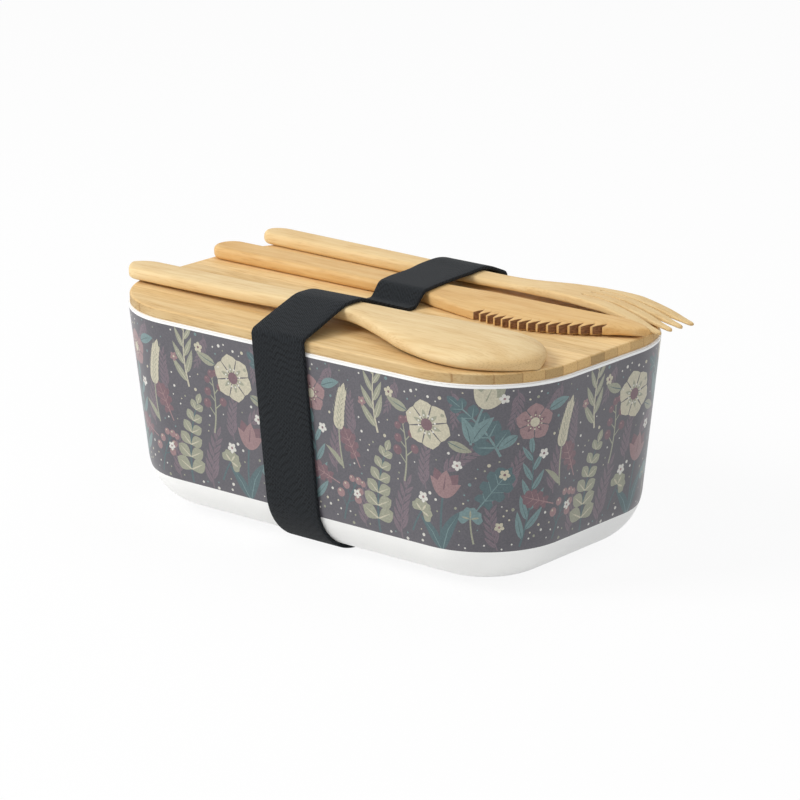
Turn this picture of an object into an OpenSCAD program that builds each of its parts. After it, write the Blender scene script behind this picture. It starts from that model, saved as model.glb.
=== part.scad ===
// Lunch box: moulded tub with a printed wall, bamboo lid with a sealing ring,
// and an elastic strap that holds a bamboo spoon, knife and fork on the lid.
// Millimetres, +Z up. The origin is on the table, under the middle of the tub.
// The front is -Y and the spoon's bowl points to +X.

/* [Tub] */
// Length of the rim
tub_len = 185; // [165:1:220]
// Width of the rim
tub_wid = 108.5; // [95:0.5:130]
// Height of the tub from its base to its rim
tub_ht = 72.5; // [55:0.5:95]
// Corner radius of the rim, seen from above
corner_r = 36; // [32:0.5:44]
// Slope of the walls from the vertical, in degrees
draft = 5.9; // [3:0.1:8]
// Radius between the walls and the base
base_r = 20; // [12:0.5:24]
// Thickness of the walls and the floor
wall = 2.6; // [2:0.1:3.5]
// Rounding of the rim's outer edge
rim_r = 0.6; // [0.3:0.1:1]

/* [Print] */
// Thickness of the printed film, which lies flush in the wall
film_t = 0.25; // [0.15:0.05:0.5]
// Plain height below the film
film_foot = 14; // [14:0.5:25]
// Plain rim above the film
film_head = 1.3; // [1:0.1:6]

/* [Lid] */
// Thickness of the flange that lies on the rim
lid_t = 3.6; // [3:0.1:8]
// Step from the rim's edge in to the lid's edge
lid_inset = 0.5; // [0:0.1:2]
// Rounding of the lid's upper edge
lid_edge_r = 0.8; // [0.3:0.1:1.5]
// Easing of the lid's lower edge
lid_ease = 0.4; // [0.2:0.1:0.8]
// Depth of the plug below the flange
plug_depth = 6.5; // [5:0.5:12]
// Gap between the plug and the mouth of the tub
plug_gap = 1.6; // [1.4:0.1:3]

/* [Seal] */
// Height of the sealing ring
seal_h = 3; // [2:0.1:4]
// Depth of the groove in the plug
seal_groove = 2; // [1:0.1:3]
// Clearance between the ring's lips and the tub
seal_gap = 0.3; // [0.2:0.05:0.6]

/* [Strap] */
// Width of the elastic
strap_w = 23; // [15:0.5:30]
// Thickness of the elastic
strap_t = 1.3; // [0.8:0.1:2]
// Place of the strap's middle along the box
strap_x = -1.9; // [-10:0.1:10]
// Clearance between the elastic and what it goes round
strap_gap = 0.12; // [0.05:0.01:0.3]
// Run of the elastic from the spoon's far edge down to the lid
spoon_fall = 19; // [12:0.5:20]
// Run of the elastic from the lid up to the knife's edge
knife_climb = 6.5; // [4:0.5:8]
// Length of the sewn overlap on the back
seam_len = 26; // [15:1:35]
// Height of the overlap's lower end above the film's lower edge
seam_up = 8; // [4:1:15]
// Length of one stitch
stitch_len = 1.8; // [1:0.1:3]
// Thickness of the thread
stitch_t = 0.5; // [0.3:0.1:0.8]
// Stitches in one row
stitch_count = 8; // [4:1:10]

/* [Cutlery] */
// Clearance between the cutlery and the lid
lay_gap = 0.15; // [0.1:0.05:0.5]
// Width of the three handles
handle_w = 13; // [10:0.2:15]
// Thickness of the spoon's handle
spoon_t = 4.4; // [3.5:0.1:6]
// Thickness of the knife
knife_t = 4.5; // [3:0.1:6]
// Thickness of the fork's handle
fork_t = 4.5; // [3.5:0.1:6]

/* [Spoon] */
// Length of the spoon
spoon_len = 184; // [165:1:205]
// Place of the spoon's handle end
spoon_tail = -95; // [-110:0.5:-85]
// Place of the spoon's handle end across the lid
spoon_y = -27.2; // [-34:0.2:-24]
// Turn of the spoon on the lid, in degrees
spoon_turn = -1.35; // [-1.5:0.05:0]
// Width of the bowl
bowl_w = 37; // [30:0.5:42]
// Length of the bowl with its neck
bowl_len = 76; // [65:1:85]
// Rise of the bowl's back above its rim
bowl_rise = 4.4; // [3:0.1:6]
// Thickness of the bowl's rim
bowl_rim = 2.6; // [1.5:0.1:3.5]
// Thickness in the middle of the bowl
bowl_t = 2.8; // [2:0.1:4]
// Height of the neck above the lid
neck_rise = 3.1; // [1.5:0.1:5]
// Height of the handle's end above the lid
tail_rise = 0.8; // [0.3:0.1:3]

/* [Knife] */
// Length of the knife
knife_len = 187.5; // [165:0.5:205]
// Place of the knife's handle end
knife_tail = -92.5; // [-110:0.5:-85]
// Place of the knife's handle across the lid
knife_y = 14; // [12:0.2:20]
// Depth of the blade's belly beyond the handle
belly = 7; // [4:0.2:8]
// Length of the blade
blade_len = 90.5; // [70:0.5:100]
// Number of teeth
tooth_count = 14; // [8:1:18]
// Pitch of the teeth
tooth_pitch = 3.38; // [2.5:0.02:3.6]
// Depth of the teeth at the blade's underside
tooth_depth = 1.7; // [0.8:0.1:2]
// Further depth of the slanted cuts at the blade's upper side
tooth_slant = 1.4; // [0:0.1:2]
// Plain edge between the handle and the first tooth
tooth_start = 30; // [20:1:32]
// Easing of the knife's edges
knife_ease = 0.7; // [0.3:0.1:1.2]
// Thickness of the blade at its toothed edge
knife_edge_t = 2.9; // [2.2:0.1:3.5]
// Thickness of the blade at its tip
knife_tip_t = 2.6; // [1.5:0.1:3]

/* [Fork] */
// Length of the fork
fork_len = 187; // [165:1:205]
// Place of the fork's handle end
fork_tail = -92.5; // [-110:0.5:-85]
// Place of the fork's handle end across the lid
fork_y = 40.4; // [38:0.2:44]
// Turn of the fork on the lid, in degrees
fork_turn = -1.4; // [-1.5:0.1:0]
// Width of the fork's head
head_w = 23.6; // [20:0.2:25]
// Length of the fork's head with its neck
head_len = 80; // [65:1:90]
// Length of the tines
tine_len = 36; // [28:1:45]
// Width of the slots at their round ends
slot_w = 1.1; // [0.8:0.1:1.6]
// Thickness of the tines at their tips
tip_t = 1.2; // [1:0.1:1.5]
// Rise of the head's back above the handle's
head_rise = 1.75; // [0:0.05:2.5]
// Drop of the tines' ends below the lid's face, beyond its rounded corner
tip_drop = 1; // [0:0.1:1.5]
// Sideways slope of the head, with its near side up, in degrees
head_roll = 4.5; // [0:0.5:6]

/* [Hidden] */
$fn = 96;
base_z = strap_t + strap_gap;
rim_z = base_z + tub_ht;
lid_z = rim_z + lid_t;
side_x = tub_len / 2 - corner_r;
side_y = tub_wid / 2 - corner_r;
mouth_drop = wall / cos(draft);
film_z0 = base_z + film_foot;
film_z1 = rim_z - film_head;
lay_z = lid_z + lay_gap;
// Middle of the elastic's thickness above the face that it lies on
strap_mid = strap_gap + strap_t / 2;
strap_x0 = strap_x - strap_w / 2;
strap_x1 = strap_x + strap_w / 2;

// Smooth curve through a table of [position, value] rows
function row_at(x, t, i = 0) = i >= len(t) - 2 || x <= t[i + 1][0] ? i : row_at(x, t, i + 1);
function slope_at(t, i) =
    let (a = max(i - 1, 0), b = min(i + 1, len(t) - 1))
    (t[b][1] - t[a][1]) / (t[b][0] - t[a][0]);
function curve(x, t) =
    let (i = row_at(x, t), a = t[i], b = t[i + 1], d = b[0] - a[0], u = (x - a[0]) / d)
    a[1] * (1 - u) * (1 - u) * (1 + 2 * u) + slope_at(t, i) * d * u * (1 - u) * (1 - u)
    + b[1] * u * u * (3 - 2 * u) + slope_at(t, i + 1) * d * u * u * (u - 1);

// Distance of the wall's outer face from a corner's centre, at a height
function wall_r(z) = corner_r - (rim_z - z) * tan(draft);

// Line of points with each inner corner rounded by its own radius
function toward(p, i, j) = (p[j] - p[i]) / norm(p[j] - p[i]);
function straight(p, i) = toward(p, i, i - 1) * toward(p, i, i + 1) < -0.999999;
function turned(p, r, i, n) =
    let (
        a = toward(p, i, i - 1),
        b = toward(p, i, i + 1),
        half = acos(a * b) / 2,
        c = p[i] + (a + b) / norm(a + b) * r / sin(half),
        from = p[i] + a * r / tan(half) - c,
        to = p[i] + b * r / tan(half) - c,
        side = from[0] * to[1] - from[1] * to[0] > 0 ? 1 : -1,
        sweep = side * (180 - 2 * half),
        start = atan2(from[1], from[0])
    )
    [for (k = [0 : n]) c + r * [cos(start + sweep * k / n), sin(start + sweep * k / n)]];
function rounded_line(p, r, n) = [
    for (i = [0 : len(p) - 1])
        for (q = i == 0 || i == len(p) - 1 || straight(p, i) ? [p[i]] : turned(p, r[i], i, n)) q
];

// Unit normal to the left of a line at one of its points
function left_of(p, i) =
    let (d = p[min(i + 1, len(p) - 1)] - p[max(i - 1, 0)])
    [-d[1], d[0]] / norm(d);
// Line that runs beside another, at a distance to its left
function beside(p, d) = [for (i = [0 : len(p) - 1]) p[i] + left_of(p, i) * d];
function reversed(p) = [for (i = [len(p) - 1 : -1 : 0]) p[i]];

// Faces of a loft through rings of n points, closed at both ends
function loft_faces(rings, n) = concat(
    [[for (k = [0 : n - 1]) k]],
    [for (s = [0 : rings - 2]) for (k = [0 : n - 1])
        for (f = [
            [s * n + k, (s + 1) * n + k, s * n + (k + 1) % n],
            [s * n + (k + 1) % n, (s + 1) * n + k, (s + 1) * n + (k + 1) % n]
        ]) f],
    [[for (k = [n - 1 : -1 : 0]) (rings - 1) * n + k]]
);

// Profile swept round the rounded rectangle, with x as the distance from a corner's centre
module round_ring() {
    for (q = [0 : 3]) {
        long = q % 2 == 0;
        sx = q == 0 || q == 3 ? 1 : -1;
        sy = q < 2 ? 1 : -1;
        translate([sx * side_x, sy * side_y, 0])
            rotate([0, 0, 90 * q])
                rotate_extrude(angle = 90)
                    children();
        rotate([0, 0, 90 * q])
            translate([long ? side_x : side_y, long ? side_y : side_x, 0])
                rotate([90, 0, 0])
                    linear_extrude(2 * (long ? side_y : side_x))
                        children();
    }
}

// The same sweep for a profile that starts at the corner's centre, filled in the middle
module round_solid(z0, z1) {
    round_ring()
        children();
    translate([-side_x, -side_y, z0])
        cube([2 * side_x, 2 * side_y, z1 - z0]);
}

// Half section of a drafted pan that fills everything inside its outer face
module pan_half(inset, z_top) {
    r = base_r - inset;
    mid = corner_r - (tub_ht - base_r) * tan(draft) - base_r / cos(draft);
    z = base_z + base_r;
    top = wall_r(z_top) - inset / cos(draft);
    polygon([
        [0, z - r],
        [mid, z - r],
        [mid + r * cos(draft), z - r * sin(draft)],
        [top, z_top],
        [0, z_top]
    ]);
    translate([mid, z])
        intersection() {
            circle(r);
            translate([0, -r])
                square([r, r]);
        }
}

// Half section of a board with a rounded upper edge and an eased lower one
module board_half(r, z0, z1, edge, ease) {
    polygon([[0, z0], [r - ease, z0], [r, z0 + ease], [r, z1 - edge], [r - edge, z1], [0, z1]]);
    translate([r - edge, z1 - edge])
        intersection() {
            circle(edge);
            square([edge, edge]);
        }
}

// Section of the film, between the wall's outer face and an inset of it
module film_section() {
    intersection() {
        difference() {
            pan_half(0, rim_z);
            pan_half(film_t, rim_z);
        }
        translate([0, film_z0])
            square([corner_r, film_z1 - film_z0]);
    }
}

module tub() {
    over = 1;
    color("whitesmoke")
        difference() {
            round_solid(base_z, rim_z) {
                difference() {
                    pan_half(0, rim_z);
                    translate([corner_r - rim_r, rim_z - rim_r])
                        difference() {
                            square(2 * rim_r);
                            circle(rim_r);
                        }
                }
            }
            round_solid(base_z + wall, rim_z + over)
                pan_half(wall, rim_z + over);
            round_ring()
                film_section();
        }
}

module print_wrap() {
    color("dimgray")
        round_ring()
            film_section();
}

plug_r = corner_r - mouth_drop - plug_gap;
seal_z0 = rim_z - (plug_depth + seal_h) / 2;

module lid() {
    groove_r = plug_r - seal_groove;
    color("burlywood")
        difference() {
            union() {
                round_solid(rim_z, lid_z)
                    board_half(corner_r - lid_inset, rim_z, lid_z, lid_edge_r, lid_ease);
                round_solid(rim_z - plug_depth, rim_z)
                    translate([0, rim_z - plug_depth])
                        square([plug_r, plug_depth]);
            }
            round_ring()
                translate([groove_r, seal_z0])
                    square([2 * seal_groove, seal_h]);
        }
}

// Ring with two lips that reach for the tub's wall
module seal_ring() {
    root = plug_r - seal_groove;
    lip = seal_h / 4;
    reach = wall_r(seal_z0) - mouth_drop - seal_gap;
    color("gainsboro")
        round_ring()
            polygon([
                [root, seal_z0],
                [plug_r, seal_z0],
                [reach, seal_z0 + lip / 2],
                [reach, seal_z0 + lip],
                [plug_r, seal_z0 + 2 * lip],
                [reach, seal_z0 + 2.5 * lip],
                [reach, seal_z0 + 3 * lip],
                [plug_r, seal_z0 + seal_h],
                [root, seal_z0 + seal_h]
            ]);
}

// Spoon, face down, drawn along x and turned about its handle's end.
// Stations run along x from the handle's end to the bowl's tip.
spoon_tip = spoon_tail + spoon_len;
neck_x = spoon_tip - bowl_len;
bowl_x = spoon_tip - 0.4 * bowl_len;
// Length of the handle's round end
spoon_end = 0.55 * handle_w;
spoon_half = [
    [spoon_tail, handle_w / 2],
    [neck_x - 0.8 * bowl_len, handle_w / 2],
    [neck_x - 0.18 * bowl_len, handle_w * 0.45],
    [neck_x, handle_w * 0.48],
    [neck_x + 0.22 * bowl_len, bowl_w * 0.29],
    [neck_x + 0.4 * bowl_len, bowl_w * 0.43],
    [bowl_x, bowl_w / 2],
    [spoon_tip - 0.2 * bowl_len, bowl_w * 0.475],
    [spoon_tip, bowl_w * 0.4]
];
spoon_under = [
    [spoon_tail, tail_rise],
    [neck_x - 0.72 * bowl_len, tail_rise + 0.35 * (neck_rise - tail_rise)],
    [neck_x - 0.16 * bowl_len, neck_rise],
    [neck_x + 0.05 * bowl_len, neck_rise],
    [neck_x + 0.3 * bowl_len, neck_rise * 0.4],
    [neck_x + 0.5 * bowl_len, neck_rise * 0.08],
    [neck_x + 0.62 * bowl_len, 0],
    [spoon_tip, 0]
];
// Smooth step from 0 to 1
function step_up(u) = let (v = min(max(u, 0), 1)) v * v * (3 - 2 * v);
// Share of the bowl's form at a station: 0 on the handle, 1 in the bowl
function bowl_share(x) = step_up((x - neck_x) / bowl_len / 0.45 - 0.12);
// Round ends, seen from above: share of the full width at a station
function end_share(x, from, to, r0, r1) =
    let (a = min((x - from) / r0, 1), b = min((to - x) / r1, 1))
    sqrt(max(1 - (1 - a) * (1 - a), 0.004)) * sqrt(max(1 - (1 - b) * (1 - b), 0.004));
function spoon_w(x) =
    curve(x, spoon_half) * end_share(x, spoon_tail, spoon_tip, spoon_end, 0.3 * bowl_len);
function spoon_low(x) = lay_z + curve(x, spoon_under);
// Height of the spoon's ridge above its underside
function spoon_ridge(x) =
    let (s = bowl_share(x)) spoon_t * (1 - s) + (bowl_rim + bowl_rise) * s;
function spoon_ring(x, n) =
    let (
        s = bowl_share(x),
        w = spoon_w(x),
        tip = end_share(x, spoon_tail - spoon_len, spoon_tip, 1, 0.3 * bowl_len),
        z = spoon_low(x),
        edge = spoon_t * 0.3 * (1 - s) + bowl_rim * s,
        rise = (spoon_ridge(x) - edge) * (1 - s + s * tip),
        hollow = max(edge + rise - bowl_t, 0) * s,
        rim = min(0.8 * (1 - s) + bowl_rim * s, w * 0.6),
        flat = 0.32 + 0.58 * s,
        square = 0.6 + 0.4 * s
    )
    concat(
        [for (k = [0 : n]) let (c = cos(180 * k / n)) [x, -w * sign(c) * pow(abs(c), square),
            z + edge + rise * pow(max(sin(180 * k / n), 0), flat)]],
        [for (k = [0 : n]) [x, (w - rim) * cos(180 * k / n),
            z + hollow * max(sin(180 * k / n), 0)]]
    );
spoon_stations = concat(
    [for (k = [0 : 5]) spoon_tail + spoon_end * (1 - cos(15 * k + 6))],
    [for (k = [1 : 18]) spoon_tail + spoon_end + (neck_x - spoon_tail - spoon_end) * k / 18],
    [for (k = [1 : 16]) neck_x + 0.7 * bowl_len * k / 16],
    [for (k = [1 : 9]) spoon_tip - 0.3 * bowl_len * (1 - sin(9.6 * k))]
);

module spoon() {
    n = 14;
    color("wheat")
        translate([spoon_tail, spoon_y, 0])
            rotate([0, 0, spoon_turn])
                translate([-spoon_tail, 0, 0])
                    polyhedron(
                        points = [for (x = spoon_stations) for (p = spoon_ring(x, n)) p],
                        faces = loft_faces(len(spoon_stations), 2 * n + 2),
                        convexity = 6
                    );
}

// Knife, lying flat with its toothed edge to the front
knife_tip = knife_tail + knife_len;
blade_x = knife_tip - blade_len;
hand = handle_w / 2;
knife_edge = [
    [knife_tail, -hand],
    [blade_x - 0.23 * blade_len, -hand],
    [blade_x, -hand],
    [blade_x + 0.12 * blade_len, -hand - 0.4 * belly],
    [blade_x + 0.33 * blade_len, -hand - 0.83 * belly],
    [blade_x + 0.49 * blade_len, -hand - 1.06 * belly],
    [blade_x + 0.61 * blade_len, -hand - 0.9 * belly],
    [blade_x + 0.7 * blade_len, -hand - 0.5 * belly],
    [blade_x + 0.8 * blade_len, -hand + 0.1 * belly],
    [blade_x + 0.9 * blade_len, -hand + 0.9 * belly],
    [blade_x + 0.96 * blade_len, -hand + 1.3 * belly],
    [knife_tip, -hand + 1.75 * belly]
];
teeth_x = blade_x + tooth_start;
teeth_end = teeth_x + tooth_count * tooth_pitch;
// Share of the handle's width at a station of its round end
function tail_share(k) = max(sin(90 * k / 8), 0.12);
// Points of the toothed edge as [x, y, slant], from the handle's end to the tip
function knife_point(x) = [x, curve(x, knife_edge), 0];
knife_front = concat(
    [for (k = [0 : 7]) [knife_tail + hand * (1 - cos(90 * k / 8)), -hand * tail_share(k), 0]],
    [for (k = [0 : 5]) knife_point(knife_tail + hand + (blade_x - knife_tail - hand) * k / 5)],
    [for (k = [1 : 5]) knife_point(blade_x + tooth_start * k / 6)],
    [for (i = [0 : tooth_count - 1])
        let (x = teeth_x + i * tooth_pitch, y = x + tooth_pitch)
        for (q = [
            knife_point(x),
            knife_point(x + 0.2 * tooth_pitch),
            [y - 0.02 * tooth_pitch, curve(y, knife_edge) + tooth_depth, tooth_slant]
        ]) q],
    [for (k = [0 : 6]) knife_point(teeth_end + (knife_tip - teeth_end) * sin(90 * k / 6))]
);
// Plain edge at a station
knife_back = [
    [blade_x, hand],
    [blade_x + 0.5 * blade_len, hand + 0.18 * belly],
    [blade_x + 0.8 * blade_len, hand + 0.22 * belly],
    [blade_x + 0.94 * blade_len, hand + 0.2 * belly],
    [knife_tip, hand + 0.05 * belly]
];
function knife_spine(x) =
    x < knife_tail + hand
    ? hand * sqrt(max(1 - pow(1 - (x - knife_tail) / hand, 2), 0.0144))
    : x < blade_x ? hand : curve(x, knife_back);
// Easing of the edges at a station: slight along the teeth, wide at the tip
function knife_soft(x) = knife_ease * (x < blade_x ? 1 : x < teeth_end ? 0.25 : 1.8);
// Share of the way from the last tooth to the tip
function tip_share(x) = max((x - teeth_end) / (knife_tip - teeth_end), 0);
// Height of the blade's back and of its toothed edge: the blade is ground down towards its teeth
function knife_high(x) =
    let (along_teeth = step_up((x - teeth_x) / (teeth_end - teeth_x)))
    lay_z + knife_t - (knife_t - knife_tip_t) * (0.3 * along_teeth + 0.7 * pow(tip_share(x), 2));
function knife_lip(x) =
    min(
        knife_high(x),
        lay_z + knife_t - (knife_t - knife_edge_t) * step_up((x - blade_x) / tooth_start / 0.7 - 0.43)
    );
function knife_ring(p) =
    let (
        x = p[0],
        front = p[1],
        high = front + p[2],
        plain = front - (p[2] > 0 ? tooth_depth : 0),
        back = knife_spine(x),
        c = min(knife_soft(x), 0.3 * (back - high)),
        ridge = plain + 0.4 * (back - plain),
        z0 = lay_z,
        z1 = knife_high(x),
        z2 = knife_lip(x) + (z1 - knife_lip(x)) * (high + c - plain) / (ridge - plain)
    )
    [for (q = [
        [front, z0 + knife_ease],
        [high, z2 - knife_ease],
        [high + c, z2],
        [ridge, z1],
        [back - c, z1],
        [back, z1 - knife_ease],
        [back, z0 + knife_ease],
        [back - c, z0],
        [front + c, z0]
    ]) [x, knife_y + q[0], q[1]]];

module knife() {
    color("peru")
        polyhedron(
            points = [for (p = knife_front) for (q = knife_ring(p)) q],
            faces = loft_faces(len(knife_front), 9),
            convexity = 10
        );
}

// Fork, face down, drawn along x and turned about its handle's end
fork_tip = fork_tail + fork_len;
fork_neck = fork_tip - head_len;
fork_half = [
    [fork_tail, hand * 0.88],
    [fork_neck - 0.62 * head_len, hand * 0.86],
    [fork_neck, hand * 0.8],
    [fork_neck + 0.18 * head_len, hand * 0.9],
    [fork_neck + 0.38 * head_len, head_w * 0.36],
    [fork_neck + 0.56 * head_len, head_w * 0.46],
    [fork_neck + 0.7 * head_len, head_w * 0.5],
    [fork_tip - 0.1 * head_len, head_w * 0.48],
    [fork_tip, head_w * 0.43]
];
// Height of the fork's back above the lid, and its thickness
fork_back = [
    [fork_tail, fork_t],
    [fork_neck - 0.08 * head_len, fork_t],
    [fork_neck, fork_t],
    [fork_neck + 0.15 * head_len, fork_t + 0.17 * head_rise],
    [fork_neck + 0.28 * head_len, fork_t + 0.52 * head_rise],
    [fork_neck + 0.4 * head_len, fork_t + 0.88 * head_rise],
    [fork_neck + 0.54 * head_len, fork_t + head_rise],
    [fork_neck + 0.7 * head_len, fork_t + 0.7 * head_rise],
    [fork_tip - 0.22 * head_len, fork_t + 0.06 * head_rise],
    [fork_tip - 0.13 * head_len, 0.66 * fork_t],
    [fork_tip - 0.055 * head_len, tip_t],
    [fork_tip, tip_t - tip_drop]
];
fork_thick = [
    [fork_tail, fork_t],
    [fork_neck - 0.55 * head_len, fork_t],
    [fork_neck - 0.4 * head_len, fork_t * 0.96],
    [fork_neck - 0.15 * head_len, fork_t * 0.7],
    [fork_neck + 0.15 * head_len, fork_t * 0.6],
    [fork_neck + 0.5 * head_len, fork_t * 0.7],
    [fork_tip - 0.2 * head_len, fork_t * 0.5],
    [fork_tip - 0.055 * head_len, tip_t],
    [fork_tip, tip_t]
];
// Sideways slope of the head, as a rise over a run
fork_roll = [
    [fork_tail, 0],
    [fork_neck - 0.08 * head_len, 0],
    [fork_neck, 0],
    [fork_neck + 0.53 * head_len, tan(head_roll)],
    [fork_tip, 0.45 * tan(head_roll)]
];
fork_stations = concat(
    [for (k = [0 : 5]) fork_tail + hand * (1 - cos(15 * k + 6))],
    [for (k = [1 : 12]) fork_tail + hand + (fork_neck - fork_tail - hand) * k / 12],
    [for (k = [1 : 22]) fork_neck + head_len * k / 22]
);
function fork_ring(x, n) =
    let (
        w = curve(x, fork_half) * end_share(x, fork_tail, fork_tip + fork_len, hand, 1),
        t = curve(x, fork_thick) / 2,
        z = lay_z + curve(x, fork_back) - t
    )
    [for (k = [0 : n - 1])
        let (
            c = cos(360 * k / n + 11.25),
            s = sin(360 * k / n + 11.25),
            y = -w * sign(c) * pow(abs(c), 0.3)
        )
        [x, y, z + t * sign(s) * pow(abs(s), 0.3) - y * curve(x, fork_roll)]];

module fork() {
    n = 16;
    pitch = head_w * 0.216;
    fan = 1.13 * pitch;
    root = fork_tip - tine_len;
    point = fork_tip - 0.22 * tine_len;
    color("tan")
        translate([fork_tail, fork_y, 0])
            rotate([0, 0, fork_turn])
                translate([-fork_tail, 0, 0])
                    difference() {
                        polyhedron(
                            points = [for (x = fork_stations) for (p = fork_ring(x, n)) p],
                            faces = loft_faces(len(fork_stations), n),
                            convexity = 4
                        );
                        for (i = [-1 : 1])
                            translate([0, 0, lid_z - fork_t])
                                linear_extrude(4 * fork_t) {
                                    polygon([
                                        [root, i * pitch - slot_w / 2],
                                        [point, i * fan - slot_w * 0.8],
                                        [fork_tip + 1, i * fan - pitch * 0.4],
                                        [fork_tip + 1, i * fan + pitch * 0.4],
                                        [point, i * fan + slot_w * 0.8],
                                        [root, i * pitch + slot_w / 2]
                                    ]);
                                    translate([root, i * pitch])
                                        circle(slot_w / 2);
                                }
                    }
}

// Middle line of the strap, seen along x: up the front, over the cutlery and down the back
base_mid = base_z - strap_mid;
wall_mid = side_y + corner_r + strap_mid / cos(draft);
foot_mid = wall_mid - (rim_z - base_mid) * tan(draft);
lid_mid = wall_mid + (lid_t + strap_mid) * tan(draft);
run_half = foot_mid - (base_r + strap_mid) * tan(45 - draft / 2) - 2;
spoon_top = max([for (x = [strap_x0, strap_x, strap_x1]) spoon_low(x) + spoon_ridge(x)]);
spoon_mid_y = spoon_y + (strap_x - spoon_tail) * sin(spoon_turn);
spoon_wide = max([for (x = [strap_x0, strap_x1]) spoon_w(x)]) + strap_w / 2 * abs(sin(spoon_turn));
fork_mid_y = fork_y + (strap_x - fork_tail) * sin(fork_turn);
fork_wide = max([for (x = [strap_x0, strap_x1]) curve(x, fork_half)]) + strap_w / 2 * abs(sin(fork_turn));
fork_top = lay_z + curve(strap_x1, fork_back);
knife_front_y = knife_y + curve(max(strap_x1, blade_x), knife_edge);
bend_steps = 10;
strap_line = rounded_line(
    [
        [-run_half, base_mid],
        [-foot_mid, base_mid],
        [-lid_mid, lid_z + strap_mid],
        [spoon_mid_y - 0.7 * spoon_wide, spoon_top + strap_mid],
        [spoon_mid_y + 0.7 * spoon_wide, spoon_top + strap_mid],
        [min(spoon_mid_y + spoon_wide + spoon_fall, knife_front_y - knife_climb - 2), lid_z + strap_mid],
        [knife_front_y - knife_climb, lid_z + strap_mid],
        [knife_front_y - knife_ease, lay_z + knife_t + strap_mid],
        [fork_mid_y - 0.8 * fork_wide, fork_top + strap_mid],
        [fork_mid_y + 0.92 * fork_wide, fork_top + strap_mid],
        [lid_mid, lid_z + strap_mid],
        [foot_mid, base_mid],
        [run_half, base_mid]
    ],
    [0, base_r + strap_mid, 2, 4, 4, 2, 2, 1.5, 4, 2.5, 2, base_r + strap_mid, 0],
    bend_steps
);
// First point of the strap's last bend, below the sewn overlap
last_bend = len(strap_line) - 2 - bend_steps;
seam_z = film_z0 + seam_up;
seam_top = seam_z + seam_len * cos(draft);
// Point beside the strap's middle line on the back wall, at a height
function back_at(z, out) =
    [wall_mid - (rim_z - z) * tan(draft) + out * cos(draft), z - out * sin(draft)];
strap_outer = beside(strap_line, strap_t / 2);
strap_section = concat(
    [for (i = [0 : last_bend - 1]) strap_outer[i]],
    [back_at(seam_top, strap_t / 2), back_at(seam_top, strap_t * 1.5)],
    [back_at(seam_z, strap_t * 1.5), back_at(seam_z, strap_t / 2)],
    [for (i = [last_bend : len(strap_outer) - 1]) strap_outer[i]],
    reversed(beside(strap_line, -strap_t / 2))
);

// Places a child on the back of the strap, z up along the wall, at a height above the base
module on_back(z, out) {
    translate([strap_x, wall_mid - (rim_z - z) * tan(draft), z])
        rotate([-draft, 0, 0])
            translate([0, strap_t / 2 + out, 0])
                children();
}

module strap() {
    color("darkslategray")
        translate([strap_x0, 0, 0])
            rotate([90, 0, 90])
                linear_extrude(strap_w)
                    polygon(strap_section);
}

module strap_base_run() {
    color("black")
        translate([strap_x0, -run_half, 0])
            cube([strap_w, 2 * run_half, strap_t]);
}

// Two rows of stitches across the overlap
module strap_stitching() {
    pitch = (strap_w - 3) / stitch_count;
    color("dimgray")
        for (row = [0.2, 0.8])
            for (i = [0 : stitch_count - 1])
                on_back(seam_z, strap_t)
                    translate([(i - (stitch_count - 1) / 2) * pitch - stitch_len / 2, 0, row * seam_len])
                        cube([stitch_len, stitch_t / 2, stitch_t]);
}

tub();
print_wrap();
lid();
seal_ring();
strap();
strap_base_run();
strap_stitching();
spoon();
knife();
fork();
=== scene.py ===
"""Looks of the lunch box: tub with a printed wall, bamboo lid and cutlery, elastic strap.

Lengths are millimetres in the part's frame where nothing else is said. Meshes are made in metres.
"""
import random
from math import (acos, asin, atan2, copysign, cos, degrees, dist, hypot, log, pi, radians, sin,
                  sqrt, tan)

import bpy
import numpy as np
from mathutils import Matrix, Vector
from mathutils.geometry import delaunay_2d_cdt
from numpy.linalg import norm


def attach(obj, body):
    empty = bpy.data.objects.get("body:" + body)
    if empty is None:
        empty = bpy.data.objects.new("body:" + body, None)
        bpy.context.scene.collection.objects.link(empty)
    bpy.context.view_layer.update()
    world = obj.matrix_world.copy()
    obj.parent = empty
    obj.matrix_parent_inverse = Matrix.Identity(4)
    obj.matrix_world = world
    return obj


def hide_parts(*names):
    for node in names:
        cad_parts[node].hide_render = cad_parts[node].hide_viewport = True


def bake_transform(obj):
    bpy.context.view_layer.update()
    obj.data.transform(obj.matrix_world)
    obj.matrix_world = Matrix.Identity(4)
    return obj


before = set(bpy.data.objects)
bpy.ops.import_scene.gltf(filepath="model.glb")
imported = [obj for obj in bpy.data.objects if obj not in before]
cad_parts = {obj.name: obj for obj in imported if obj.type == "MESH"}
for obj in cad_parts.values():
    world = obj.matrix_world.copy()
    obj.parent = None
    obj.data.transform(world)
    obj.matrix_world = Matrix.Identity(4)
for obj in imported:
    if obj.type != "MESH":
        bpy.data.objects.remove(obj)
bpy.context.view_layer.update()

MM = 0.001  # in metres

# Camera fitted to the photograph: degrees, then metres from the middle of the tub's base
CAMERA_AZ, CAMERA_EL, CAMERA_ROLL = 40.15, 16.71, -0.42
CAMERA_BACK, CAMERA_RIGHT, CAMERA_UP = 1.2344, 0.0028, 0.04017
SENSOR, LENS = 36.0, 159.93

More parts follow.
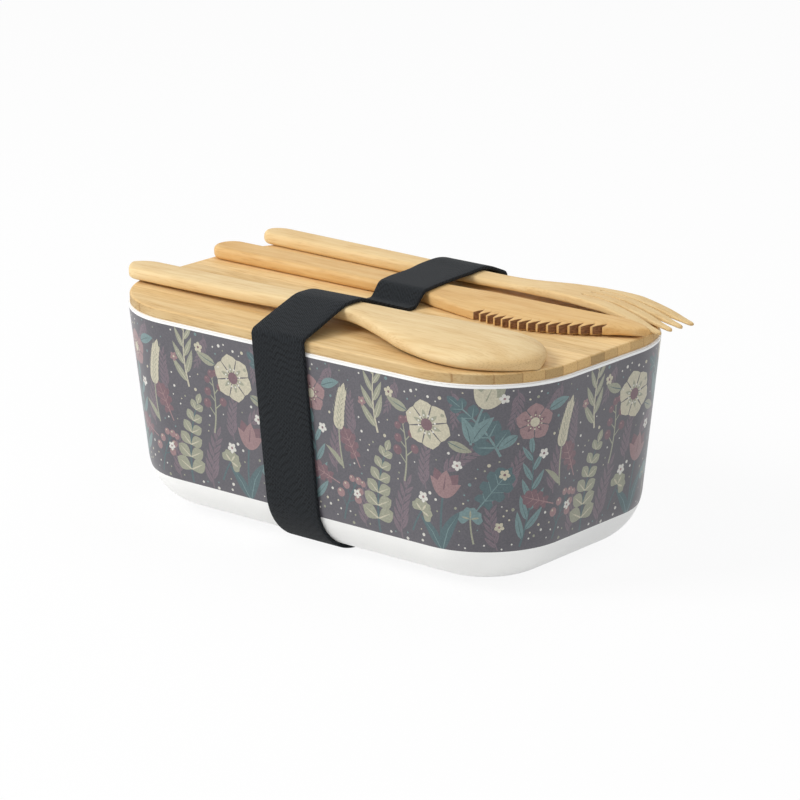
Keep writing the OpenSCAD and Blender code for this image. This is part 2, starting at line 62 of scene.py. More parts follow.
# Sizes of the part
CORNER_R, SIDE_X, SIDE_Y = 36.0, 56.5, 18.25
DRAFT = radians(5.9)
BASE_R, BASE_Z, RIM_Z, LID_Z, LAY_Z = 20.0, 1.42, 73.92, 77.52, 77.67
FILM_Z0, FILM_Z1, FILM_T = 15.42, 72.62, 0.25
STRAP_W, STRAP_T, STRAP_X, STRAP_GAP = 23.0, 1.3, -1.9, 0.12
SEAM_UP, SEAM_LEN = 8.0, 26.0
STITCH_LEN, STITCH_T, STITCH_COUNT = 1.8, 0.5, 8
SPOON_FALL, KNIFE_CLIMB = 19.0, 6.5
HAND = 6.5  # half the width of a handle
SPOON_LEN, SPOON_TAIL, SPOON_Y, SPOON_T = 184.0, -95.0, -27.2, 4.4
SPOON_TURN = radians(-1.35)
BOWL_W, BOWL_LEN, BOWL_RISE, BOWL_RIM, BOWL_T = 37.0, 76.0, 4.4, 2.6, 2.8
NECK_RISE, TAIL_RISE = 3.1, 0.8
KNIFE_LEN, KNIFE_TAIL, KNIFE_Y, KNIFE_T = 187.5, -92.5, 14.0, 4.5
KNIFE_EDGE_T, KNIFE_TIP_T = 2.9, 2.6
BELLY, BLADE_LEN, BLADE_LIFT = 7.0, 90.5, 0.65
TOOTH_COUNT, TOOTH_PITCH, TOOTH_DEPTH, TOOTH_SLANT, TOOTH_START = 14, 3.38, 1.7, 1.4, 30.0
FORK_LEN, FORK_TAIL, FORK_Y, FORK_T = 187.0, -92.5, 40.4, 4.5
FORK_TURN, HEAD_ROLL = radians(-1.4), tan(radians(4.5))
HEAD_W, HEAD_LEN, TINE_LEN, SLOT_W = 23.6, 80.0, 36.0, 1.1
TIP_T, TIP_DROP, HEAD_RISE = 1.2, 1.0, 1.75
HANDLE_EASE, TOOTH_EASE = 1.6, 0.16  # radius of rounded edges


def linear(r, g, b):
    """Linear colour of an sRGB one given in 0..255."""
    parts = [c / 255 for c in (r, g, b)]
    return (*(c / 12.92 if c <= 0.04045 else ((c + 0.055) / 1.055) ** 2.4 for c in parts), 1.0)


def shaded(color, by, plus=0.0):
    """A linear colour made darker or lighter."""
    return (*(min(c * by + plus, 1.0) for c in color[:3]), 1.0)


def curve(x, table):
    """Smooth curve through rows of (position, value)."""
    last = len(table) - 1

    def slope(i):
        a, b = table[max(i - 1, 0)], table[min(i + 1, last)]
        return (b[1] - a[1]) / (b[0] - a[0])

    i = 0
    while i < last - 1 and x > table[i + 1][0]:
        i += 1
    a, b = table[i], table[i + 1]
    d = b[0] - a[0]
    u = (x - a[0]) / d
    return (a[1] * (1 - u) ** 2 * (1 + 2 * u) + slope(i) * d * u * (1 - u) ** 2
            + b[1] * u * u * (3 - 2 * u) + slope(i + 1) * d * u * u * (u - 1))


def spread(start, length, rows):
    """Table for curve from rows of (share of the length, value)."""
    return [(start + share * length, value) for share, value in rows]


def clamp(v, lo=0.0, hi=1.0):
    return max(lo, min(hi, v))


def step_up(u):
    """Smooth step from 0 to 1."""
    u = clamp(u)
    return u * u * (3 - 2 * u)


def turned(verts, tail, y, turn):
    """Points drawn along x, turned about a handle's end at (tail, y)."""
    c, s = cos(turn), sin(turn)
    return [(tail + (a - tail) * c - b * s, y + (a - tail) * s + b * c, z) for a, b, z in verts]


# Node trees

def sum_of(op):
    """Method of Value that makes a Math node."""
    return lambda self, *others: self.nodes.math(op, self, *others)


class Value:
    """A node's output. Sums with it make Math nodes."""
    __add__, __sub__, __mul__ = sum_of("ADD"), sum_of("SUBTRACT"), sum_of("MULTIPLY")
    __truediv__, __pow__, __abs__ = sum_of("DIVIDE"), sum_of("POWER"), sum_of("ABSOLUTE")

    def __init__(self, nodes, socket):
        self.nodes, self.socket = nodes, socket


class Nodes:
    """The node tree of a material or world, built from nothing."""

    def __init__(self, owner):
        owner.use_nodes = True
        self.tree = owner.node_tree
        self.tree.nodes.clear()

    def put(self, socket, value):
        if isinstance(value, Value):
            self.tree.links.new(value.socket, socket)
        else:
            socket.default_value = value

    def add(self, kind, values=(), **props):
        """A new node, with values for its inputs by name or number."""
        node = self.tree.nodes.new("ShaderNode" + kind)
        for key, value in props.items():
            setattr(node, key, value)
        for key, value in dict(values).items():
            self.put(node.inputs[key], value)
        return node

    def get(self, kind, values=(), out=0, **props):
        """An output of a new node."""
        return Value(self, self.add(kind, values, **props).outputs[out])

    def math(self, op, *values):
        return self.get("Math", enumerate(values), operation=op)


class Paint(Nodes):
    """A node material built around one Principled shader."""

    def __init__(self, name, spec):
        self.mat = bpy.data.materials.new(name)
        super().__init__(self.mat)
        self.shader = self.add("BsdfPrincipled", {"Specular IOR Level": spec})
        self.add("OutputMaterial", {"Surface": Value(self, self.shader.outputs[0])})
        self.xyz = self.coords("Object")

    def set(self, name, value):
        self.put(self.shader.inputs[name], value)

    def scaled(self, vec, by):
        return self.get("VectorMath", {0: vec, "Scale": by}, operation="SCALE")

    def coords(self, kind, scale=1 / MM):
        """Texture coordinates of a kind as three numbers, in millimetres by default."""
        vec = self.scaled(self.get("TexCoord", out=kind), scale)
        return [Value(self, s) for s in self.add("SeparateXYZ", {0: vec}).outputs]

    def vector(self, xyz):
        return self.get("CombineXYZ", enumerate(xyz))

    def noise(self, xyz, scale=1.0, detail=2.0, rough=0.5):
        values = {"Vector": self.vector(xyz), "Scale": scale, "Detail": detail, "Roughness": rough}
        return self.get("TexNoise", values, "Fac")

    def chance(self, value):
        """A random number from 0 to 1 that belongs to a value."""
        return self.get("TexWhiteNoise", {"W": value}, "Value", noise_dimensions="1D")

    def step(self, value, lo, hi, out0=0.0, out1=1.0):
        """Smooth step from out0 to out1 while the value goes from lo to hi."""
        values = enumerate((value, lo, hi, out0, out1))
        return self.get("MapRange", values, interpolation_type="SMOOTHSTEP")

    def mix(self, share, a, b):
        """Colour between a and b."""
        return self.get("Mix", {0: share, 6: a, 7: b}, 2, data_type="RGBA")

    def done(self, color, rough, height, strength, distance):
        """The material, with its colour, roughness and bump, whose distance is in metres."""
        values = {"Strength": strength, "Distance": distance, "Height": height}
        self.set("Base Color", color)
        self.set("Roughness", rough)
        self.set("Normal", self.get("Bump", values))
        return self.mat


# Materials

def bamboo(name, pale, warm, dark, seed, strip=0.0, shift=0.0, cut=(0.42, 0.8), cut_from=-200.0):
    """Split bamboo with its fibres along x, in glued strips across y where strip is given.

    cut says how far a face must lean towards x to show cut fibres, and cut_from where along x
    they begin.
    """
    p = Paint(name, spec=0.3)
    pale, warm, dark = linear(*pale), linear(*warm), linear(*dark)
    x, y, z = p.xyz
    nx, _, nz = p.coords("Normal", 1.0)
    if strip:
        wobble = p.noise((x * 0.03, 3.0, 1.0), detail=1.0)
        across = y / strip + shift + (wobble - 0.5) * 0.08
        tone = p.chance(p.math("FLOOR", across) + seed)
        part = p.math("FRACT", across)
        from_edge = p.math("MINIMUM", part, p.math("SUBTRACT", 1.0, part))
        joint = p.step(from_edge, 0.004, 0.035, 1.0, 0.0)
    else:
        tone = p.chance(seed)

    def grain(along, wide, apart, detail):
        return p.noise((x * along + tone * apart, y * wide, z * wide), detail=detail)

    streak = grain(0.018, 0.55, 61.0, 3.0)
    cloud = grain(0.05, 0.16, 29.0, 2.0)
    fibre = grain(0.13, 2.1, 83.0, 2.0)
    bold = 1.0 if strip else 0.66  # the carved cutlery shows its grain less than the board does
    color = p.mix(p.step(streak, 0.4, 0.68) * (0.65 * bold), pale, warm)
    color = p.mix(p.step(cloud, 0.42, 0.72) * 0.55, color, warm)
    fleck = p.step(fibre, 0.5, 0.72) * p.step(cloud, 0.3, 0.7, 0.22 * bold, 0.5 * bold)
    color = p.mix(fleck, color, dark)
    # Faces cut across the fibres are speckled
    ends = p.step(abs(nx), *cut) * p.step(x, cut_from, cut_from + 12.0)
    vec = p.vector((x * 0.2, y, z))
    dots = p.get("TexVoronoi", {"Vector": vec, "Scale": 2.0}, "Distance")
    speckle = p.mix(p.step(dots, 0.1, 0.5, 0.6, 0.0), warm, dark)
    color = p.mix(ends * 0.85, color, speckle)
    height = fibre * 0.6 + dots * (ends * 0.8)
    if strip:
        # Each strip has its own tone, most of all on the board's edge, which also carries painted
        # shade and, at the rim, a painted shadow line
        upright = p.step(abs(nz), 0.3, 0.7, 1.0, 0.0)
        low = p.step(z, RIM_Z, RIM_Z + 0.8, 1.0, 0.0)
        shade = tone * p.step(upright, 0.0, 1.0, 0.16, 0.42) + 0.9
        # Edge faces darkened, most of all the end faces: partly the real darker end grain, partly
        # painted shade
        shade = shade - upright * p.step(abs(nx), 0.0, 0.6, 0.14, 0.32)
        color = p.mix(joint * p.step(upright, 0.0, 1.0, 0.3, 0.6), color, dark)
        # Painted shadow line along the foot of the board's edge, where it sits on the rim
        color = p.mix(low * upright * 0.6, color, linear(96, 78, 60))
        color = p.scaled(color, shade)
        height = height - joint * 0.5
    return p.done(color, p.step(fibre, 0.2, 0.8, 0.5, 0.68), height, 0.22, 0.00012)


def moulded(name, rgb):
    """Moulded bamboo-fibre plastic: faint flecks, a satin skin and a painted shadow along the outer
    top edge of the rim, under the lid.
    """
    p = Paint(name, spec=0.42)
    color = linear(*rgb)
    darker = shaded(color, 0.91)
    nz = p.coords("Normal", 1.0)[2]
    fleck = p.noise(p.xyz, 2.6, 3.0, 0.6)
    cloud = p.noise(p.xyz, 0.05, 2.0)
    tone = p.mix(p.step(fleck, 0.55, 0.78), color, darker)
    tone = p.mix(p.step(cloud, 0.35, 0.7) * 0.3, tone, darker)
    # Painted shadow on the outer wall just below the rim's top, where the lid sits on it
    rim_shadow = p.step(p.xyz[2], RIM_Z - 0.65, RIM_Z - 0.2) * p.step(abs(nz), 0.4, 0.8, 0.6, 0.0)
    tone = p.mix(rim_shadow, tone, linear(140, 131, 122))
    return p.done(tone, p.step(fleck, 0.3, 0.7, 0.30, 0.39), fleck, 0.10, 0.00008)


def printed(name, rgb):
    """Ink under a clear satin film, with the faint mottle of the fibre plastic."""
    p = Paint(name, spec=0.5)
    color = linear(*rgb)
    dot = p.noise(p.xyz, 1.7, 3.0, 0.65)
    cloud = p.noise(p.xyz, 0.07, 2.0)
    tone = p.mix(p.step(dot, 0.34, 0.68), shaded(color, 0.86), shaded(color, 1.10, 0.004))
    tone = p.mix(p.step(cloud, 0.35, 0.7) * 0.35, tone, color)
    return p.done(tone, p.step(dot, 0.3, 0.7, 0.30, 0.38), dot, 0.06, 0.00006)


def elastic(name):
    """Woven elastic: slanted rows of stitches, clear in some places, and a few pale fibres."""
    slant, row_width, stitch = -0.36, 0.74, 2.4
    p = Paint(name, spec=0.15)
    u, v, _ = p.coords("UV")
    row = (v + u * slant) / row_width
    run = u / stitch + p.chance(p.math("FLOOR", row)) * 7.0
    rib, line = (abs(p.math("SINE", turns * pi)) for turns in (run, row))
    knit = rib ** 0.3 * line ** 0.9
    fuzz = p.noise((u * 3.0, v * 3.0, 0.0), 1.0, 3.0, 0.7)
    wave = p.noise((u * 0.1, v * 0.22, 4.0), 1.0, 2.0)
    clear = p.step(wave, 0.4, 0.6, 0.45, 1.0)
    share = (p.step(knit, 0.1, 0.9) - 0.6) * clear + 0.6
    color = p.mix(share, linear(1, 2, 3), linear(38, 42, 46))
    color = p.mix(p.step(fuzz, 0.6, 0.74) * 0.4, color, linear(78, 84, 90))
    p.set("Sheen Weight", 0.04)
    p.set("Sheen Roughness", 0.45)
    return p.done(color, p.step(fuzz, 0.2, 0.8, 0.72, 0.9), knit + fuzz * 0.35, 0.55, 0.00022)


def twisted_thread(name):
    """Sewing thread with the lay of its twist."""
    p = Paint(name, spec=0.3)
    x, _, z = p.xyz
    lay = p.math("SINE", (x + z * 1.6) * 9.0)
    color = p.mix(p.step(lay, -0.6, 0.8), linear(20, 21, 24), linear(58, 60, 65))
    return p.done(color, 0.7, lay, 0.5, 0.00006)


def silicone(name):
    """Clear silicone with a light haze."""
    p = Paint(name, spec=0.5)
    haze = p.noise(p.xyz, 0.25, 3.0)
    color = p.mix(p.step(haze, 0.3, 0.7), linear(222, 221, 214), linear(206, 206, 200))
    p.set("Subsurface Weight", 0.2)
    p.set("Subsurface Radius", (0.002, 0.002, 0.002))
    rough = p.step(haze, 0.3, 0.7, 0.28, 0.42)
    return p.done(color, rough, p.noise(p.xyz, 3.0, 2.0), 0.08, 0.00005)


def burnt(name):
    """Saw marks scorched into the cut faces of the teeth."""
    p = Paint(name, spec=0.2)
    x, y, z = p.xyz
    saw = p.noise((x * 0.8, y * 0.8, z * 4.0), 1.0, 3.0, 0.6)
    color = p.mix(p.step(saw, 0.3, 0.72), linear(104, 70, 48), linear(146, 106, 74))
    return p.done(color, 0.75, saw, 0.3, 0.00012)


# Meshes

def new_object(name, data):
    obj = bpy.data.objects.new(name, data)
    bpy.context.scene.collection.objects.link(obj)
    return obj


def mesh_object(name, verts, faces, mats, pick=(), uv=(), angle=0):
    """Smooth mesh from millimetres. uv is one pair in millimetres for each face corner."""
    mesh = bpy.data.meshes.new(name)
    mesh.from_pydata((np.asarray(verts, float) * MM).tolist(), [], faces)
    for m in mats:
        mesh.materials.append(m)
    if pick:
        mesh.polygons.foreach_set("material_index", np.asarray(pick, dtype=np.int32))
    if uv:
        layer = mesh.uv_layers.new(name="UVMap")
        layer.data.foreach_set("uv", (np.asarray(uv, float) * MM).astype(np.float32).ravel())
    mesh.shade_smooth()
    if angle:
        mesh.set_sharp_from_angle(angle=radians(angle))
    mesh.update()
    return new_object(name, mesh)


def flipped(corners):
    """A face's corners the other way round, from the same first one."""
    return corners[:1] + corners[:0:-1]


def tube(first, rings, m, loop=False):
    """Faces of a tube through rings of m vertices, numbered from first, with caps unless a loop."""
    faces = []
    for i in range(rings if loop else rings - 1):
        a, b = first + i * m, first + (i + 1) % rings * m
        faces += [[a + k, b + k, b + (k + 1) % m, a + (k + 1) % m] for k in range(m)]
    if not loop:
        last = first + (rings - 1) * m
        faces += [list(range(first, first + m)), list(range(last + m - 1, last - 1, -1))]
    return faces


def tube_uv(run, wide):
    """Corners of the sides of a tube, laid flat: run is along it, and wide round it."""
    return [[(a, c), (b, c), (b, d), (a, d)]
            for a, b in zip(run, run[1:]) for c, d in zip(wide, wide[1:])]


def inside(points, ring):
    """Whether points lie in a polygon."""
    x, y = points[:, 0:1], points[:, 1:2]
    a, b = ring, np.roll(ring, -1, axis=0)
    cross = (a[:, 1] > y) != (b[:, 1] > y)
    with np.errstate(divide="ignore", invalid="ignore"):
        at = (b[:, 0] - a[:, 0]) * (y - a[:, 1]) / (b[:, 1] - a[:, 1]) + a[:, 0]
    return (np.sum(cross & (x < at), axis=1) % 2) == 1


def to_ring(points, ring, batch=2000):
    """Distance of points from a polygon's edge."""
    d = np.roll(ring, -1, axis=0) - ring
    length = np.maximum((d * d).sum(1), 1e-12)
    out = np.empty(len(points))
    for i in range(0, len(points), batch):
        q = points[i:i + batch, None, :] - ring[None]
        t = np.clip((q * d).sum(2) / length, 0, 1)
        out[i:i + batch] = np.sqrt(((q - t[..., None] * d) ** 2).sum(2).min(1))
    return out


def sideways(line):
    """Unit vectors to the left of a closed line at its points."""
    d = np.roll(line, -1, axis=0) - np.roll(line, 1, axis=0)
    return np.stack([-d[:, 1], d[:, 0]], 1) / norm(d, axis=1)[:, None]


def skin(ring, height, side, ease, spacing=2.2):
    """Upper (side 1) or lower (side -1) face of a board, rounded down to its outline.

    Returns vertices, faces, and the vertex at each point of the outline.
    """
    n = len(ring)
    inward = sideways(ring)
    radius = np.array([ease(x, y) for x, y in ring])
    points = [ring]
    for turn in (20, 40, 60, 78, 90):
        off = radius * (1 - cos(radians(turn)))
        q = ring + inward * off[:, None]
        points.append(q[inside(q, ring) & (to_ring(q, ring) > 0.96 * off)])
    lo, hi = ring.min(0), ring.max(0)
    gx, gy = np.meshgrid(np.arange(lo[0], hi[0], spacing), np.arange(lo[1], hi[1], spacing * 0.7))
    q = np.stack([gx.ravel(), gy.ravel()], 1)
    q = q[inside(q, ring)]
    points.append(q[to_ring(q, ring) > radius.max() + 0.45])
    flat = [Vector(p) for p in np.vstack(points).tolist()]
    got = delaunay_2d_cdt(flat, [], [list(range(n))], 1, 1e-5, True)
    xy = np.array([tuple(v) for v in got[0]])
    where = {o: i for i, origin in enumerate(got[3]) for o in origin}
    verts = []
    for (x, y), a in zip(xy, to_ring(xy, ring)):
        r = ease(x, y)
        drop = r * (1 - sqrt(max(1 - (1 - min(a / r, 1)) ** 2, 0)))
        verts.append((x, y, height(x, y) - side * drop))
    kept = inside(np.array([xy[list(f)].mean(0) for f in got[2]]), ring)
    faces = [list(f)[::side] for f, keep in zip(got[2], kept) if keep]
    return verts, faces, [where[i] for i in range(n)]


def slab(ring, top, under, ease, upper=None):
    """Board with a plan outline and rounded edges; its upper outline may differ from its lower one.

    Returns vertices, faces, and for each face the outline segment it belongs to, or -1.
    """
    ring = np.asarray(ring, float)
    verts, faces, edge = skin(ring if upper is None else upper, top, 1, ease)
    more, low_faces, low_edge = skin(ring, under, -1, ease)
    m, n = len(verts), len(ring)
    faces += [[k + m for k in f] for f in low_faces]
    owner = [-1] * len(faces) + list(range(n))
    for i in range(n):
        j = (i + 1) % n
        faces.append([low_edge[i] + m, low_edge[j] + m, edge[j], edge[i]])
    return np.array(verts + more), faces, owner


# Camera, light and floor

def camera():
    az, el, roll = (radians(a) for a in (CAMERA_AZ, CAMERA_EL, CAMERA_ROLL))
    turn = Matrix.Rotation(az, 3, "Z") @ Matrix.Rotation(pi / 2 - el, 3, "X")
    turn = turn @ Matrix.Rotation(roll, 3, "Z")
    data = bpy.data.cameras.new("camera")
    data.sensor_width, data.lens = SENSOR, LENS
    data.clip_start, data.clip_end = 0.05, 50.0
    obj = new_object("camera", data)
    at = turn @ Vector((CAMERA_RIGHT, CAMERA_UP, CAMERA_BACK)) + Vector((0, 0, BASE_Z * MM))
    obj.matrix_world = Matrix.LocRotScale(at, turn, None)
    bpy.context.scene.camera = obj


def lamp(name, at, aim, size, power, color):
    """Square lamp; metres and watts."""
    data = bpy.data.lights.new(name, "AREA")
    data.shape = "RECTANGLE"
    data.size = data.size_y = size
    data.energy, data.color = power, color
    obj = new_object(name, data)
    obj.location = at
    obj.rotation_mode = "QUATERNION"
    obj.rotation_quaternion = (Vector(aim) - Vector(at)).to_track_quat("-Z", "Y")


def by_ray(nodes, lit, seen, share=1.0):
    """Shader lit for light that falls on the object; seen, by a share, for other rays."""
    camera_ray, mirror, glass = (nodes.get("LightPath", out=f"Is {kind} Ray")
                                 for kind in ("Camera", "Glossy", "Transmission"))
    direct = nodes.math("MAXIMUM", nodes.math("MAXIMUM", camera_ray, mirror), glass)
    return nodes.get("MixShader", {0: direct * share, 1: lit, 2: seen})


def studio():
    scene = bpy.context.scene
    scene.view_settings.view_transform = "Standard"
    scene.world = bpy.data.worlds.new("studio")
    white = (1.0, 1.0, 1.0, 1.0)
    sky = Nodes(scene.world)
    soft = sky.get("Background", {"Color": (0.97, 0.98, 1.0, 1.0), "Strength": 0.42})
    plain = sky.get("Background", {"Color": white, "Strength": 1.0})
    sky.add("OutputWorld", {"Surface": by_ray(sky, soft, plain)})

    mat = bpy.data.materials.new("floor")
    pale = Nodes(mat)
    dull = pale.get("BsdfDiffuse", {"Color": (0.9, 0.9, 0.9, 1.0)})
    glow = pale.get("Emission", {"Color": white, "Strength": 1.0})
    pale.add("OutputMaterial", {"Surface": by_ray(pale, dull, glow, 0.91)})
    reach, gap = 6000, 0.2
    corners = [(a * reach, b * reach, -gap) for a, b in ((-1, -1), (1, -1), (1, 1), (-1, 1))]
    floor = mesh_object("floor", corners, [(0, 1, 2, 3)], [mat])

    middle, neutral = (0, 0, 0.05), (1.0, 1.0, 1.0)
    lamp("key", (-0.9, -1.2, 1.25), middle, 0.8, 22.2, (1.0, 0.985, 0.96))
    lamp("fill", (1.5, -0.9, 0.9), middle, 1.2, 5.8, (0.97, 0.985, 1.0))
    lamp("top", (0.1, 0.5, 1.7), middle, 1.4, 7.0, neutral)
    lamp("side", (-0.6, -0.42, 0.2), (-0.05, -0.05, 0.05), 0.35, 0.6, neutral)


# Printed wall

# Centre of the base radius, from a corner's middle, and where the wall goes over into it
MID = CORNER_R - (RIM_Z - BASE_Z - BASE_R) * tan(DRAFT) - BASE_R / cos(DRAFT)
BEND_Z = BASE_Z + BASE_R - BASE_R * sin(DRAFT)
LOW_TURN = asin((FILM_Z0 - BASE_Z - BASE_R) / BASE_R)
BEND_LEN = BASE_R * (-DRAFT - LOW_TURN)
FILM_H = BEND_LEN + (FILM_Z1 - BEND_Z) / cos(DRAFT)
MEAN_R = CORNER_R - (RIM_Z - 0.5 * (FILM_Z0 + FILM_Z1)) * tan(DRAFT)
AROUND = 4 * (SIDE_X + SIDE_Y) + 2 * pi * MEAN_R
REPEATS = 6
TILE = AROUND / REPEATS
FILM_COLUMNS = 34  # of the mesh, in one repeat
FILM_ROWS = (1.0, 2.0, 3.0, BEND_LEN, 13, 22, 31, 40, 49)


def on_wall(u, v):
    """Place and normal on the wall of a point of the flat print: u runs round, v up the slope."""
    if v < BEND_LEN:
        turn = LOW_TURN + v / BASE_R
        r, z = MID + BASE_R * cos(turn), BASE_Z + BASE_R + BASE_R * sin(turn)
        out, lift = cos(turn), sin(turn)
    else:
        z = BEND_Z + (v - BEND_LEN) * cos(DRAFT)
        r = CORNER_R - (RIM_Z - z) * tan(DRAFT)
        out, lift = cos(DRAFT), -sin(DRAFT)
    u = u % AROUND
    corner = pi / 2 * MEAN_R
    x, y = -SIDE_X, -SIDE_Y
    for k, (nx, ny) in enumerate(((0, -1), (1, 0), (0, 1), (-1, 0))):
        side = 2 * (SIDE_Y if k % 2 else SIDE_X)
        if u <= side:
            x, y = x - ny * u, y + nx * u
            break
        x, y, u = x - ny * side, y + nx * side, u - side
        if u <= corner or k == 3:
            a = radians(90 * k - 90) + u / MEAN_R
            nx, ny = cos(a), sin(a)
            break
        u -= corner
    return (x + nx * r, y + ny * r, z), (nx * out, ny * out, lift)


GROUND, SAGE, CREAM, TEAL, DEEP, ROSE, WINE, WHITE, MAUVE = range(9)
INKS = (
    ("ink_ground", (91, 89, 95)),
    ("ink_sage", (149, 150, 132)),
    ("ink_cream", (190, 184, 163)),
    ("ink_teal", (111, 135, 136)),
    ("ink_deep_teal", (82, 103, 107)),
    ("ink_rose", (147, 120, 121)),
    ("ink_wine", (117, 92, 98)),
    ("ink_white", (208, 206, 199)),
    ("ink_mauve", (118, 104, 112)),
)


# Motifs are lists of (ink, outline), drawn upward from the origin in millimetres

def bent(points, bend):
    """Points with their y axis bent sideways, to the right for a positive bend (turn per mm)."""
    if abs(bend) < 1e-6:
        return points
    r = 1 / bend
    return [(r - (r - x) * cos(y * bend), (r - x) * sin(y * bend)) for x, y in points]


def moved(shapes, x, y, turn=0.0, size=1.0):
    """Shapes made larger, turned by degrees and put at a place."""
    c, s = size * cos(radians(turn)), size * sin(radians(turn))
    return [(ink, [(x + c * px - s * py, y + s * px + c * py) for px, py in pts])
            for ink, pts in shapes]


def around(shapes, count, turn=0.0):
    """Shapes repeated in a ring."""
    return [s for k in range(count) for s in moved(shapes, 0, 0, turn + 360 * k / count)]


def leaf(ink, length, width, bend=0.0, vein=None, full=0.42):
    """Leaf that is widest at the full share of its length."""
    n = 7
    power = log(0.5) / log(full)
    right = [(width / 2 * sin(pi * (k / n) ** power) ** 0.85, k / n * length) for k in range(1, n)]
    left = [(-x, y) for x, y in right[::-1]]
    out = [(ink, bent([(0, 0)] + right + [(0, length)] + left, bend))]
    if vein is not None:
        w = max(0.05 * width, 0.12)
        half = [(w, 0.02 * length), (w * 0.8, 0.5 * length)]
        rib = half + [(0, 0.86 * length)] + [(-x, y) for x, y in half[::-1]]
        out.append((vein, bent(rib, bend)))
    return out


def stem(ink, length, w0, w1, bend=0.0):
    n = 8
    right = [((w0 + (w1 - w0) * k / n) / 2, length * k / n) for k in range(n + 1)]
    return [(ink, bent(right + [(-x, y) for x, y in right[::-1]], bend))]


def disc(ink, x, y, r, n):
    turns = [2 * pi * k / n for k in range(n)]
    return [(ink, [(x + r * cos(a), y + r * sin(a)) for a in turns])]


def along(y, bend, lean=0.0):
    """Place and turn (degrees) at height y on a bent stem, for what leans away from it."""
    (x0, y0), (x1, y1) = bent([(0, y), (0, y + 0.01)], bend)
    return x0, y0, degrees(atan2(y1 - y0, x1 - x0)) - 90 + lean


def gum_sprig(ink, rib, stalk, length, bend, pairs=6):
    """Round leaves in pairs on a bent stalk."""
    out = stem(stalk, length, 0.9, 0.45, bend)
    for k in range(pairs):
        t = k / (pairs - 1)
        s = 1 - 0.45 * t
        for side in (-1, 1):
            spot = along(length * (0.16 + 0.76 * t), bend, side * (62 - 4 * k))
            out += moved(leaf(ink, 7.4 * s, 5.4 * s, 0, rib, 0.55), *spot)
    return out + moved(leaf(ink, 4.6, 2.8, 0, rib, 0.5), *along(length, bend))


def willow(ink, rib, stalk, length, bend, count=9):
    """Slender leaves in turn on a long stalk."""
    out = stem(stalk, length, 0.8, 0.35, bend)
    for k in range(count):
        t, side = k / (count - 1), (-1) ** k
        s = 1 - 0.35 * t
        spot = along(length * (0.08 + 0.84 * t), bend, side * 34)
        out += moved(leaf(ink, 10.5 * s, 2.7 * s, 0.02 * side, rib, 0.4), *spot)
    return out + moved(leaf(ink, 7.0, 2.0, 0, rib, 0.4), *along(length, bend))


def blossom(outer, inner, heart, speck, r, count, turn):
    """Open flower seen from above."""
    out = around(leaf(outer, r, r * 0.92, full=0.62), count, turn)
    gap = moved(leaf(GROUND, r * 0.96, r * 0.055, full=0.5), 0, 0, 180 / count)
    out += around(leaf(inner, r * 0.62, r * 0.16, full=0.6) + gap, count, turn)
    out += disc(heart, 0, 0, r * 0.25, 14)
    for k in range(count * 2):
        a = pi * (k + 0.5) / count
        out += disc(speck, 0.37 * r * cos(a), 0.37 * r * sin(a), 0.032 * r + 0.1, 7)
    return out


def tulip(bud, shade, green, rib, length, bend=0.012):
    """Cup-shaped bud on a stalk with two long leaves."""
    out = stem(green, length * 0.74, 0.9, 0.7, bend)
    out += moved(leaf(green, length * 0.62, 4.2, 0.035, rib), 0, 0.6, -13)
    out += moved(leaf(green, length * 0.5, 3.8, -0.04, rib), 0, 0.6, 16)
    x, y, a = along(length * 0.70, bend)
    for side in (-1, 1):
        out += moved(leaf(shade, 10.5, 5.6, -0.03 * side, full=0.44), x, y, a + 15 * side)
    out += moved(leaf(bud, 10.0, 5.6, 0, shade), x, y, a)
    for side in (-1, 1):
        out += moved(leaf(bud, 8.6, 3.4, -0.045 * side), x, y - 0.2, a + 30 * side)
    return out


def berry_twig(stalk, berry, glint, length, bend):
    """Berries on short stalks, each with a glint."""
    out = stem(stalk, length, 0.75, 0.4, bend)
    spots = []
    for k in range(6):
        reach = 5.4 - 0.5 * k
        x, y, turn = along(length * (0.3 + 0.62 * k / 5), bend, 46 * (-1) ** k)
        out += moved(stem(stalk, reach, 0.45, 0.3), x, y, turn)
        c, s = cos(radians(turn)), sin(radians(turn))
        spots.append((x - s * reach, y + c * reach, 1.75 - 0.1 * k))
    spots.append((*along(length, bend)[:2], 1.5))
    for x, y, r in spots:
        out += disc(berry, x, y, r, 12) + disc(glint, x - 0.35 * r, y + 0.35 * r, 0.24 * r, 7)
    return out


def wheat(grain, rib, stalk, length, bend):
    """Ear with awns, and one long leaf."""
    out = stem(stalk, length * 0.8, 0.7, 0.4, bend)
    for k in range(7):
        y = length * (0.46 + 0.4 * k / 6)
        for side in (-1, 1):
            seed = leaf(grain, 5.2 - 0.25 * k, 2.3, 0.03 * side, rib)
            out += moved(seed, *along(y, bend, side * 27))
            out += moved(stem(stalk, 7.4 - 0.4 * k, 0.22, 0.14), *along(y, bend, side * 21))
    out += moved(leaf(grain, 5.0, 2.1, 0, rib), *along(length * 0.88, bend))
    return out + moved(leaf(stalk, 10.0, 2.0, -0.05, rib, 0.4), 0, 0.4, 22)


def clover(ink, mark, stalk, r, length=9.0, bend=0.03):
    """Three leaves of two lobes each."""
    out = stem(stalk, length, 0.7, 0.55, bend)
    for turn in (-78, 0, 78):
        for lean in (-17, 17):
            lobe = leaf(ink, r, r * 0.72, full=0.66)
            out += moved(lobe, *along(length, bend, turn + lean))
        out += moved(leaf(mark, r * 0.72, r * 0.16, full=0.55), *along(length, bend, turn))
    return out


